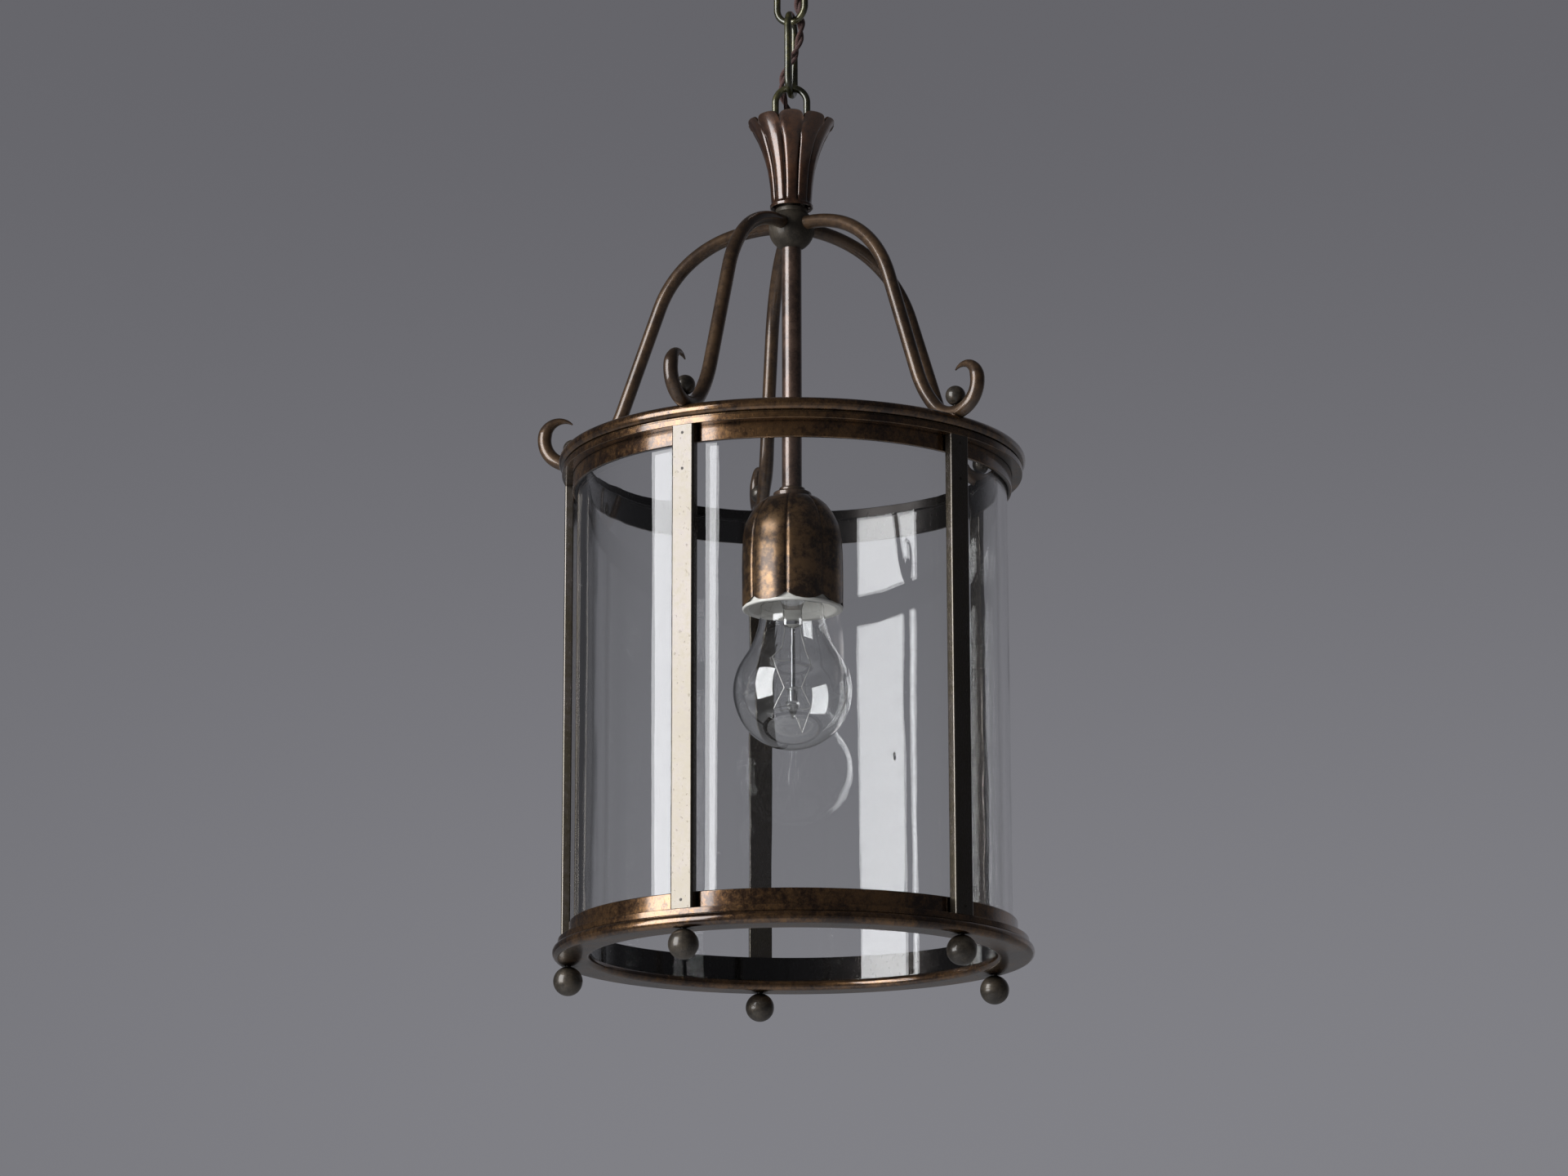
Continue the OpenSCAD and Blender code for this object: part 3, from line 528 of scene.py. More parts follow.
def wire_link(name, turn, height):
    """One link: a ring of wire, parted at its waist and pulled out to its length."""
    start_piece()
    bpy.ops.mesh.primitive_torus_add(
        major_segments=LINK_STEPS,
        minor_segments=24,
        major_radius=LINK_BEND,
        minor_radius=LINK_WIRE / 2,
    )
    link = bpy.context.object
    link.name = name
    half_step = math.pi / LINK_STEPS
    link.data.transform(Matrix.Rotation(math.pi / 2, 4, "X") @ Matrix.Rotation(half_step, 4, "Z"))
    bpy.ops.object.mode_set(mode="EDIT")
    for way in (1, -1):
        mesh = bmesh.from_edit_mesh(link.data)
        for vert in mesh.verts:
            vert.select_set(vert.co.z * way > 0)
        mesh.select_flush_mode()
        bpy.ops.transform.translate(value=(0, 0, way * LINK_LEG / 2))
    bpy.ops.object.mode_set(mode="OBJECT")
    link.data.transform(Matrix.Translation((0, 0, height)) @ Matrix.Rotation(math.radians(turn), 4, "Z"))
    bpy.ops.object.shade_smooth()
    return link


for number, turn in enumerate((178, 105, 27), 1):
    low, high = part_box(f"chain_link_{number}")
    fit_out(
        wire_link(f"link_{number}", turn, (low.z + high.z) / 2),
        chain_brass,
        f"link_{number}",
        "chain_brass",
        f"chain_link_{number}",
    )


# Flex
# Two cores in braided brown cloth are twisted together. They leave the rose, are threaded through the
# links and go down the hollow stem to the lampholder.

FLEX_ROUTE = [
    (9.5, 3, -1), (9.5, 3, -14), (9.5, 3, -27), (8.8, 3.2, -36), (7.4, 3.6, -44), (5.6, 4.2, -54),
    (4.2, 4.6, -64), (3.7, 4.6, -73), (4.6, 3.8, -79), (5.3, 3.1, -84), (4.9, 2.4, -90), (2.6, 2.2, -99),
    (-0.6, 2.2, -106), (-4, 3, -113), (-4.9, 4, -118), (-4.3, 4.6, -123), (-2.6, 4.7, -128),
    (-1.2, 4.5, -134), (-1.4, 4.5, -142), (-3, 4.5, -150), (-4.6, 4.4, -158), (-4.8, 4.2, -163),
    (-4.2, 2.8, -169), (-2.2, 1.1, -175), (0, 0, -181), (0, 0, -187), (0, 0, -260), (0, 0, -340),
    (0, 0, -356),
]
CORE_R = 1.12 * mm
CORE_APART = 1.02 * mm
TWIST_PITCH = 21 * mm
FLEX_STEP = 0.6 * mm
CORE_SIDES = 14


def smooth_route(points, step):
    """Points a step apart on one smooth curve through the given points."""
    ends = [2 * points[0] - points[1], *points, 2 * points[-1] - points[-2]]
    fine = []
    for a, b, c, d in zip(ends, ends[1:], ends[2:], ends[3:]):
        count = max(2, round((c - b).length / step))
        for k in range(count):
            t = k / count
            fine.append(
                0.5 * (2 * b + (c - a) * t + (2 * a - 5 * b + 4 * c - d) * t * t + (3 * b - a - 3 * c + d) * t**3)
            )
    return fine + [points[-1]]


flex_line = smooth_route(
    [Matrix.Rotation(math.radians(FLEX_TURN), 3, "Z") @ Vector(p) * mm for p in FLEX_ROUTE], FLEX_STEP
)


def flex_piece(name, top, bottom):
    """The stretch of the twisted pair between two heights, with lengthwise and round-about UVs for its braid."""
    mesh = bmesh.new()
    wrap = mesh.loops.layers.uv.new("braid")
    side = Vector((1, 0, 0))
    travelled = 0.0
    rings = ([], [])
    for i, spot in enumerate(flex_line):
        ahead = (flex_line[min(i + 1, len(flex_line) - 1)] - flex_line[max(i - 1, 0)]).normalized()
        side = (side - ahead * side.dot(ahead)).normalized()
        across = ahead.cross(side)
        travelled += (spot - flex_line[i - 1]).length if i else 0
        if not bottom - FLEX_STEP < spot.z < top + FLEX_STEP:
            continue
        twist = 2 * math.pi * travelled / TWIST_PITCH
        for core, ring_list in enumerate(rings):
            angle = twist + math.pi * core
            middle = spot + CORE_APART * (math.cos(angle) * side + math.sin(angle) * across)
            ring_list.append(
                (
                    travelled,
                    [
                        mesh.verts.new(
                            middle
                            + CORE_R
                            * (
                                math.cos(2 * math.pi * k / CORE_SIDES) * side
                                + math.sin(2 * math.pi * k / CORE_SIDES) * across
                            )
                        )
                        for k in range(CORE_SIDES)
                    ],
                )
            )
    for ring_list in rings:
        for (start, ring), (end, next_ring) in zip(ring_list, ring_list[1:]):
            for k in range(CORE_SIDES):
                n = (k + 1) % CORE_SIDES
                face = mesh.faces.new((ring[k], ring[n], next_ring[n], next_ring[k]))
                face.smooth = True
                for loop, u, v in zip(face.loops, (k, k + 1, k + 1, k), (start, start, end, end)):
                    loop[wrap].uv = (u / CORE_SIDES, v / (2 * math.pi * CORE_R))
        mesh.faces.new(reversed(ring_list[0][1]))
        mesh.faces.new(ring_list[-1][1])
    bmesh.ops.recalc_face_normals(mesh, faces=mesh.faces)
    data = bpy.data.meshes.new(name)
    mesh.to_mesh(data)
    mesh.free()
    piece = bpy.data.objects.new(name, data)
    bpy.context.scene.collection.objects.link(piece)
    return piece


def braided_cloth():
    """Glazed cotton braid: two sets of slanting threads that cross, one a little pinker than the other."""
    finish = Finish("flex_cloth", Specular_IOR_Level=0.3, Sheen_Weight=0.25)
    wrap = finish.node("ShaderNodeSeparateXYZ", {}, {0: finish.node("ShaderNodeUVMap", {"uv_map": "braid"}).outputs[0]})
    round_about, lengthwise = Tone(finish, wrap.outputs[0]), Tone(finish, wrap.outputs[1])
    threads = 10 * 2 * math.pi
    one_way = (threads * (round_about + lengthwise)).sine()
    other_way = (threads * (round_about - lengthwise)).sine()
    over = (one_way - other_way).between(-0.5, 0.5)
    fuzz = finish.noise(0.0005, 2)
    colour = finish.mix(over, (0.075, 0.035, 0.03, 1), (0.21, 0.105, 0.092, 1))
    colour = finish.mix(fuzz.between(0.35, 0.75), colour, (0.04, 0.022, 0.019, 1))
    finish.feed(finish.shader.inputs["Base Color"], colour)
    finish.feed(finish.shader.inputs["Roughness"], 0.62 + 0.2 * fuzz)
    finish.raised(over * one_way + (1 - over) * other_way, 0.12 * mm, 0.8)
    return finish.material


flex_cloth = braided_cloth()
HINGES = [(joint["parent"], joint["child"], joint["pos_m"][2]) for joint in frame["joints"] if joint["type"] == "hinge"]
CUTS = [-1 * mm, -61.9 * mm, -101.9 * mm, -146 * mm, -356 * mm]
STANDS_FOR = [("flex_at_rose", "flex_along_link_1"), ("flex_along_link_2",), ("flex_along_link_3",), ("flex_in_stem",)]
for number, ((upper, lower, height), stood_for) in enumerate(zip(HINGES, STANDS_FOR), 1):
    flex = flex_piece(f"twisted_flex_{number}", CUTS[number - 1], CUTS[number])
    flex.data.materials.append(flex_cloth)
    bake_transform(flex)
    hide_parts(*stood_for)


# Stirrup and tulip crown
# A bent wire stirrup stands inside the crown and its hollow nipple clamps the crown to the hub. The crown
# is spun from sheet and fluted into ten petals whose rounded tips curl outwards.

base_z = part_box("base_ring")[0].z


def level(height):
    """A height in millimetres above the underside of the base ring, as a place in the frame."""
    return base_z + height * mm


olive_bronze = patina(
    "olive_bronze", (0.042, 0.035, 0.027), (0.11, 0.09, 0.066), (0.24, 0.19, 0.13), (0.4, 0.54), 0.4, 0.012, 0.6
)
finish_node(olive_bronze, "stirrup")

red_bronze = patina(
    "red_bronze", (0.042, 0.017, 0.008), (0.125, 0.054, 0.025), (0.34, 0.22, 0.14), (0.24, 0.34), 0.4, 0.03, 1.0, 0.08, 1.7
)

CROWN_U = 390.9
CROWN_PROFILE = [
    (0, 10.7, 0), (0.25, 11.1, 0), (1.5, 11.15, 0), (1.9, 10.8, 0.1), (3, 10.6, 0.6), (6, 10.85, 0.8), (11, 11.15, 0.9),
    (16, 11.75, 1), (21.5, 12.6, 1.1), (27, 14, 1.2), (32, 15.6, 1.3), (37, 17.6, 1.4), (41.5, 19.9, 1.4),
    (44.5, 21.3, 1.3), (46.6, 22.6, 1.1),
]
PETALS = 10
PETAL_STEPS = 24
PETAL_WALL = 1.1 * mm
CROWN_NOTCH = 5
CROWN_FLUTE = 2.3


def arch(share):
    """The outline of a petal across its width: nearly flat, with round shoulders that fall to its seams."""
    return 0.25 * share**2 + 0.75 * share**7


def across_lobe(vert, lobes, turn):
    """Where a point lies across its lobe: 0 in the middle and 1 at the seams."""
    angle = math.degrees(math.atan2(vert.co.x, -vert.co.y)) - turn
    share = (angle * lobes / 360 + 0.5) % 1
    return abs(2 * share - 1)


def push(piece, name, weights, direction, reach):
    """Moves a piece's points along a direction by a share of this reach."""
    group = piece.vertex_groups.new(name=name)
    for index, weight in enumerate(weights):
        group.add([index], weight, "REPLACE")
    shove = piece.modifiers.new(name, "DISPLACE")
    shove.vertex_group = name
    shove.direction = direction
    shove.mid_level = 0
    shove.strength = reach
    bpy.context.view_layer.objects.active = piece
    bpy.ops.object.modifier_apply(modifier=name)


def interpolate(table, at, column):
    """The value in a column of a profile, between its rows."""
    for before, after in zip(table, table[1:]):
        if at <= after[0]:
            share = (at - before[0]) / (after[0] - before[0])
            return before[column] + share * (after[column] - before[column])
    return table[-1][column]


crown = turned("crown", [(r * mm, level(CROWN_U + z)) for z, r, _ in CROWN_PROFILE], PETALS * PETAL_STEPS)
heights = [(vert.co.z - level(CROWN_U)) / mm for vert in crown.data.vertices]
shares = [arch(across_lobe(vert, PETALS, VIEW_TURN)) for vert in crown.data.vertices]
push(
    crown,
    "flute",
    [s * interpolate(CROWN_PROFILE, h, 2) / CROWN_PROFILE[-2][2] for s, h in zip(shares, heights)],
    "NORMAL",
    -CROWN_FLUTE * mm,
)
full = CROWN_PROFILE[-1][0]
push(crown, "notch", [s * max(0, h / full) ** 3 for s, h in zip(shares, heights)], "Z", -CROWN_NOTCH * mm)
start_piece()
crown.select_set(True)
bpy.context.view_layer.objects.active = crown
wall = crown.modifiers.new("wall", "SOLIDIFY")
wall.thickness = PETAL_WALL
wall.offset = -1
bpy.ops.object.modifier_apply(modifier="wall")
bpy.ops.object.shade_smooth_by_angle(angle=math.radians(40))
fit_out(crown, red_bronze, "lantern", "bronze_patina", "tulip_crown")


# Hub and stem
# The hub is a turned brass ball with a short neck, bored for the arms and the stem. The stem is plain brass
# tube that carries the lampholder and hides the flex.

HUB_U = 380
HUB_R = 11.8
NECK_R = 8.2
NECK_H = 10.85
stem_x = 5.1

neck_foot = math.degrees(math.asin(NECK_R / HUB_R))
hub_line = [(NECK_R - 0.4, NECK_H), (NECK_R, NECK_H - 0.4)]
hub_line += [
    (HUB_R * math.sin(math.radians(a)), HUB_R * math.cos(math.radians(a)))
    for a in range(round(neck_foot), 156, 3)
]
hub_bronze = patina(
    "hub_bronze", (0.035, 0.029, 0.022), (0.085, 0.07, 0.052), (0.2, 0.16, 0.11), (0.5, 0.64), 0.3, 0.01, 0.12
)
hub = turned("hub_ball", [(r * mm, level(HUB_U + z)) for r, z in [(6, NECK_H)] + hub_line + [(0, -10.9)]], 96)
fit_out(hub, hub_bronze, "lantern", "dark_bronze", "hub")

stem_bronze = patina("stem_bronze", (0.055, 0.033, 0.024), (0.16, 0.1, 0.072), (0.32, 0.24, 0.16), (0.3, 0.42), 0.3)
stem = turned("stem", [(stem_x * mm, level(374)), (stem_x * mm, level(222))], 64)
fit_out(stem, stem_bronze, "lantern", "dark_bronze", "stem_tube")


# Arms
# Each arm is one brass rod, bent to an S and drawn out to a point at its scroll. It is pinned into the hub
# at the top and filed and soldered to the top ring at its foot.

ARM_START = Vector((7, 381.5))
ARM_HEADING = -5
ARM_RUNS = [
    (0, 7), (76, -15.67), (58.97, -50), (0, 58.16), (60, 23.58), (17.25, 80.78), (13.2, 68.85), (8.84, 117.6),
]
ARM_R = 3.6
ARM_TIP_R = 0.35
ARM_STEP = 3
SIDE_TURN = 72


def arm_line():
    """Points and radii along one arm in its own upright plane: bends are (radius, turn), straights (0, length)."""
    spot, heading = ARM_START.copy(), ARM_HEADING
    line = [(spot.copy(), ARM_R)]
    for run, (bend, amount) in enumerate(ARM_RUNS):
        steps = 12 if bend == 0 else math.ceil(abs(amount) / ARM_STEP)
        for k in range(steps):
            if bend:
                turn = amount / steps
                chord = 2 * bend * math.sin(math.radians(abs(turn)) / 2)
                way = math.radians(heading + turn / 2)
                heading += turn
            else:
                chord, way = amount / steps, math.radians(heading)
            spot += chord * Vector((math.cos(way), math.sin(way)))
            taper = ((k + 1) / steps) ** 1.15 if run == len(ARM_RUNS) - 1 else 0
            line.append((spot.copy(), ARM_R - taper * (ARM_R - ARM_TIP_R)))
    return line


def bent_rod(name, points, radii, sides=28):
    """A round rod along points, with its own radius at each, made as a bevelled curve."""
    curve = bpy.data.curves.new(name, "CURVE")
    curve.dimensions = "3D"
    curve.bevel_depth = 1
    curve.bevel_resolution = sides // 4 - 1
    curve.use_fill_caps = True
    spline = curve.splines.new("POLY")
    spline.points.add(len(points) - 1)
    for point, spot, radius in zip(spline.points, points, radii):
        point.co = (*spot, 1)
        point.radius = radius
    rod = bpy.data.objects.new(name, curve)
    bpy.context.scene.collection.objects.link(rod)
    start_piece()
    rod.select_set(True)
    bpy.context.view_layer.objects.active = rod
    bpy.ops.object.convert(target="MESH")
    bpy.ops.object.shade_smooth_by_angle(angle=math.radians(50))
    return bpy.context.object


arm_bronze = patina(
    "arm_bronze", (0.05, 0.029, 0.017), (0.125, 0.073, 0.037), (0.34, 0.25, 0.16), (0.36, 0.48), 0.4, 0.03, 0.8, 0.2
)
line = arm_line()
for number in range(5):
    out = flat_direction(number * SIDE_TURN)
    arm = bent_rod(
        f"scroll_arm_{number + 1}",
        [out * spot.x * mm + Vector((0, 0, level(spot.y))) for spot, _ in line],
        [radius * mm for _, radius in line],
    )
    fit_out(arm, arm_bronze, "lantern", "bronze_patina", f"arm_{number + 1}")


# Scroll balls
# A small turned ball sits in the bend of each scroll, on a pin that goes down into the arm.


def ball(name, out, radius, height):
    """A turned ball at this distance from the axis."""
    start_piece()
    bpy.ops.mesh.primitive_uv_sphere_add(segments=48, ring_count=32, radius=radius)
    piece = bpy.context.object
    piece.name = name
    piece.data.transform(Matrix.Translation(out + Vector((0, 0, height))))
    bpy.ops.object.shade_smooth()
    return piece


finish_node(olive_bronze, "arm_ball_pins")
for number in range(5):
    out = flat_direction(number * SIDE_TURN) * 114.2 * mm
    piece = ball(f"scroll_ball_{number + 1}", out, 5 * mm, level(267.8))
    fit_out(piece, olive_bronze, "lantern", "dark_bronze", f"arm_ball_{number + 1}")


# Rings and collars
# Two brass mouldings, each with a half-round nose and a plain band, hold the uprights. Thin collars inside
# them keep the glass in place, and the base ring has a flat flange that the glass stands on.

RING_BROWNS = ((0.04, 0.018, 0.008), (0.26, 0.137, 0.054), (0.42, 0.33, 0.18), (0.2, 0.31), 0.7, 0.03, 0.75, 0.2, 1.8)
RING_METAL = 0.85
ring_bronze = patina("ring_bronze", *RING_BROWNS, metal=RING_METAL)
# The collars' finish is painted near-black inside the glass's radius, as painted shade on their inner faces.
inner_shade_bronze = patina("inner_shade_bronze", *RING_BROWNS, 110.4 * mm, metal=RING_METAL)


def ring_piece(name, corners, node, material=ring_bronze):
    """A turned ring whose corners are given as (radius, height above the base, ease)."""
    outline = eased([(r * mm, level(u), ease * mm) for r, u, ease in corners])
    return fit_out(even_out(turned(name, outline, 256)), material, "lantern", "bronze_patina", node)


ring_piece(
    "top_moulding",
    [
        (111.55, 247.05, 0.2), (117, 247.05, 0.35), (117, 250.15, 0.3), (116.1, 250.15, 0.1),
        (116.1, 251.05, 0.1), (118.6, 251.05, 3.1), (118.6, 257.45, 3.1), (111.55, 257.45, 0.3),
    ],
    "top_ring",
)
ring_piece(
    "base_moulding",
    [(101, 0, 2.5), (119.7, 0, 3), (119.7, 6.2, 3), (111.55, 6.2, 0.2), (111.55, 5.2, 0.1), (101, 5.2, 2.5)],
    "base_ring",
)
ring_piece(
    "base_band",
    [(111.55, 6.25, 0.2), (117, 6.25, 0.3), (117, 9.35, 0.35), (111.55, 9.35, 0.2)],
    "low_band",
)
ring_piece(
    "upper_collar",
    [(109.5, 238.95, 0.3), (111.5, 238.95, 0.4), (111.5, 257.45, 0.3), (109.5, 257.45, 0.3)],
    "top_collar",
    inner_shade_bronze,
)
ring_piece(
    "lower_collar",
    [(109.5, 5.25, 0.3), (111.5, 5.25, 0.3), (111.5, 17.95, 0.5), (109.5, 17.95, 0.5)],
    "low_collar",
    inner_shade_bronze,
)


# Uprights
# Five flat brass bars with rubbed edges join the rings, each held by small steel pins filed flush with its face.

bar_bronze = patina(
    "bar_bronze",
    (0.084, 0.069, 0.044),
    (0.112, 0.096, 0.086),
    (0.3, 0.25, 0.18),
    (0.22, 0.28),
    0.35,
    0.07,
    relief=0.04,
    metal=0.85,
)
pin_steel = patina("pin_steel", (0.02, 0.015, 0.012), (0.05, 0.04, 0.03), (0.08, 0.07, 0.06), (0.5, 0.6), 0.3, 0.002, 0.2)
BAR_WIDE = 12 * mm
BAR_THICK = 4.8 * mm
BAR_FACE = 117 * mm
PIN_R = 0.75 * mm
PIN_PROUD = 0.04 * mm


def flat_bar(name, turn, low, high):
    """An upright bar whose long edges are rounded, the outer ones more."""
    start_piece()
    bpy.ops.mesh.primitive_cube_add(size=1)
    bar = bpy.context.object
    bar.name = name
    bar.data.transform(
        Matrix.Rotation(math.radians(turn), 4, "Z")
        @ Matrix.Translation((0, BAR_THICK / 2 - BAR_FACE, (low + high) / 2))
        @ Matrix.Diagonal((BAR_WIDE, BAR_THICK, high - low, 1))
    )
    facing = flat_direction(turn)
    for outer, ease in ((True, 1.1 * mm), (False, 0.5 * mm)):
        bpy.ops.object.mode_set(mode="EDIT")
        mesh = bmesh.from_edit_mesh(bar.data)
        for edge in mesh.edges:
            long = abs(edge.verts[0].co.z - edge.verts[1].co.z) > BAR_WIDE
            out = (edge.verts[0].co * Vector((1, 1, 0))).dot(facing) > BAR_FACE - BAR_THICK / 2
            edge.select_set(long and out == outer and edge.calc_face_angle() > 1)
        bpy.ops.mesh.bevel(offset=ease, segments=5)
        bpy.ops.object.mode_set(mode="OBJECT")
    bpy.ops.object.shade_smooth_by_angle(angle=math.radians(50))
    return even_out(bar)


for number in range(5):
    low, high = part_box(f"upright_{number + 1}")
    bar = flat_bar(f"flat_bar_{number + 1}", number * SIDE_TURN, low.z, high.z)
    fit_out(bar, bar_bronze, "lantern", "bronze_patina", f"upright_{number + 1}")

start_piece()
pin_heads = []
for number in range(5):
    for height in (13.4, 225.1, 243.1):
        bpy.ops.mesh.primitive_cylinder_add(vertices=20, radius=PIN_R, depth=2 * PIN_PROUD)
        head = bpy.context.object
        head.data.transform(
            Matrix.Translation(flat_direction(number * SIDE_TURN) * BAR_FACE + Vector((0, 0, level(height))))
            @ Matrix.Rotation(math.radians(number * SIDE_TURN), 4, "Z")
            @ Matrix.Rotation(math.pi / 2, 4, "X")
        )
        pin_heads.append(head)
for head in pin_heads:
    head.select_set(True)
bpy.ops.object.join()
pins = bpy.context.object
pins.name = "filed_pins"
fit_out(pins, pin_steel, "lantern", "dark_bronze", "upright_pins")


# Feet
# Five turned balls are screwed up against the base ring under the uprights.

finish_node(olive_bronze, "foot_studs")
for number in range(5):
    out = flat_direction(number * SIDE_TURN) * 114.2 * mm
    piece = ball(f"turned_foot_{number + 1}", out, 7.4 * mm, level(-7.45))
    fit_out(piece, olive_bronze, "lantern", "dark_bronze", f"foot_ball_{number + 1}")


# Glass cylinder
# Old drawn glass tube, cut off by hand at the top, so that its rim is a little uneven. Its wall has faint
# upright waves from drawing, and a small seed here and there.


def clear_glass(name, bending, waves=(), middle=None, **sheen):
    """Clear glass. Waves are (depth, size, stretch), and both faces of a wall lie on either side of its middle."""
    finish = Finish(
        name, Transmission_Weight=1.0, Roughness=0.0, IOR=bending, Base_Color=(0.995, 1, 0.998, 1), **sheen
    )
    if waves:
        radius = finish.node("ShaderNodeVectorMath", {"operation": "LENGTH"}, {0: finish.flat_place()})
        face = 2 * Tone(finish, radius.outputs["Value"]).between(middle - 0.2 * mm, middle + 0.2 * mm) - 1
        height = sum((finish.noise(size, 2, 0.5, stretch) * (depth / mm) for depth, size, stretch in waves), 0.0)
        finish.raised(height * face, mm, 1.0)
    path = finish.node("ShaderNodeLightPath")
    soft_gloss = Tone(finish, path.outputs["Is Glossy Ray"]) - Tone(finish, path.outputs["Is Singular Ray"])
    lit = soft_gloss.sum("MAXIMUM", path.outputs["Is Shadow Ray"], path.outputs["Is Diffuse Ray"])
    clear = finish.node("ShaderNodeBsdfTransparent").outputs[0]
    either = finish.node(
        "ShaderNodeMixShader", {}, {0: lit.sum("MAXIMUM", lit, soft_gloss), 1: finish.shader.outputs[0], 2: clear}
    )
    finish.feed(finish.tree.nodes["Material Output"].inputs["Surface"], either.outputs[0])
    return finish.material


RIM_FALL = 0.9 * mm
SEEDS = [
    (54, 84, 2.2 * mm), (-52, 187, 1.1 * mm), (8, 36, 0.9 * mm), (133, 151, 1.6 * mm), (-118, 63, 1.3 * mm),
    (-160, 204, 1 * mm),
]
tube_glass = clear_glass(
    "tube_glass",
    1.53,
    ((0.09 * mm, 0.03, (1, 1, 0.15)), (0.012 * mm, 0.008, (1, 1, 0.06)), (0.08 * mm, 0.045, (1, 1, 0.7))),
    106.9 * mm,
)
tube = turned(
    "glass_tube",
    eased([(r * mm, level(u), 0.6 * mm) for r, u in ((104.7, 5.22), (109.1, 5.22), (109.1, 251.82), (104.7, 251.82))]),
    256,
)
rim = level(251)
turns = [math.atan2(vert.co.y, vert.co.x) for vert in tube.data.vertices]
push(
    tube,
    "cut",
    [(vert.co.z > rim) * (0.5 + 0.3 * math.sin(3 * a) + 0.2 * math.sin(8 * a)) for vert, a in zip(tube.data.vertices, turns)],
    "Z",
    -RIM_FALL,
)
fit_out(even_out(tube), tube_glass, "lantern", "cylinder_glass", "glass_cylinder")

start_piece()
seeds = []
for turn, height, size in SEEDS:
    bpy.ops.mesh.primitive_uv_sphere_add(segments=24, ring_count=16, radius=1)
    seed = bpy.context.object
    seed.data.transform(
        Matrix.Translation(flat_direction(turn) * 107.2 * mm + Vector((0, 0, level(height))))
        @ Matrix.Rotation(math.radians(turn), 4, "Z")
        @ Matrix.Diagonal((0.32 * size, 0.2 * size, size, 1))
    )
    bpy.ops.object.shade_smooth()
    seeds.append(seed)
for seed in seeds:
    seed.select_set(True)
bpy.ops.object.join()
glass_seeds = bpy.context.object
glass_seeds.name = "glass_seeds"
fit_out(glass_seeds, clear_glass("seed_glass", 2.1), "lantern", "cylinder_glass")


# Lampholder
# A turned collar screws the fluted husk to the stem. The husk is spun brass, pressed into eight flat lobes
# with sharp seams, over a white porcelain holder with a screw shell.

holder_bronze = patina("holder_bronze", (0.05, 0.03, 0.018), (0.13, 0.08, 0.05), (0.34, 0.25, 0.16), (0.3, 0.44), 0.5)
collar_line = eased(
    [
        (r * mm, level(236.2 + z), e * mm)
        for r, z, e in (
            (5.1, 0, 0), (9.9, 0, 0.2), (9.9, 2.9, 0.8), (6, 2.9, 0.1), (6, 3.3, 0.1), (6.8, 3.3, 0.3), (6.8, 5.4, 0.9),
            (5.1, 5.4, 0),
        )
    ]
)
fit_out(even_out(turned("stepped_collar", collar_line, 96)), holder_bronze, "lantern", "dark_bronze", "holder_collar")

husk_bronze = patina(
    "husk_bronze",
    (0.045, 0.022, 0.009),
    (0.26, 0.145, 0.06),
    (0.42, 0.3, 0.17),
    (0.26, 0.34),
    0.4,
    0.014,
    gloss=0.5,
    relief=0.45,
    film=1.75,
    haze=0.26,
    metal=0.75,
)
HUSK_U = 236.2
HUSK_R = 25.8
HUSK_PROFILE = [
    (0, 0.3, 0), (0.1, 0.44, 0.05), (0.3, 0.5, 0.1), (1.6, 0.585, 0.5), (4.2, 0.705, 0.8), (8.8, 0.83, 1),
    (13.6, 0.915, 1), (20.2, 0.97, 1), (29, 0.992, 1), (38, 1, 1), (48, 0.998, 1), (57.4, 0.993, 1),
]
HUSK_LOBES = 8
HUSK_STEPS = 32
HUSK_TURN = 20
HUSK_SEAM = 1.5
HUSK_NOTCH = 3.4


def lobe(share):
    """The outline of a husk lobe across its width: nearly flat, with a sharp fall at its seams."""
    return 0.2 * share**2 + 0.8 * share**18


husk = turned("fluted_husk", [(r * HUSK_R * mm, level(HUSK_U - z)) for z, r, _ in HUSK_PROFILE], HUSK_LOBES * HUSK_STEPS)
depths = [(level(HUSK_U) - vert.co.z) / mm for vert in husk.data.vertices]
shares = [across_lobe(vert, HUSK_LOBES, HUSK_TURN + 180 / HUSK_LOBES) for vert in husk.data.vertices]
dips = [lobe(s) * interpolate(HUSK_PROFILE, d, 2) for s, d in zip(shares, depths)]
push(husk, "seam", dips, "NORMAL", -HUSK_SEAM * mm)
full = HUSK_PROFILE[-1][0]
push(husk, "notch", [s**2 * min(1, d / full) ** 8 for s, d in zip(shares, depths)], "Z", HUSK_NOTCH * mm)
start_piece()
husk.select_set(True)
bpy.context.view_layer.objects.active = husk
wall = husk.modifiers.new("wall", "SOLIDIFY")
wall.thickness = 1.1 * mm
wall.offset = -1
bpy.ops.object.modifier_apply(modifier="wall")
bpy.ops.object.shade_smooth_by_angle(angle=math.radians(40))
fit_out(husk, husk_bronze, "lantern", "bronze_patina", "husk")


def glazed_porcelain():
    """White porcelain under a clear glaze, a little grimy in patches."""
    finish = Finish("glazed_porcelain", Coat_Weight=0.6, Coat_Roughness=0.06)
    darkening = finish.noise(0.009, 4).between(0.5, 0.8)
    finish.feed(
        finish.shader.inputs["Base Color"], finish.mix(0.25 * darkening, (0.88, 0.87, 0.81, 1), (0.5, 0.45, 0.36, 1))
    )
    finish.feed(finish.shader.inputs["Roughness"], 0.28 + 0.15 * darkening)
    finish.raised(finish.noise(0.006, 1), 0.08 * mm, 0.4)
    return finish.material


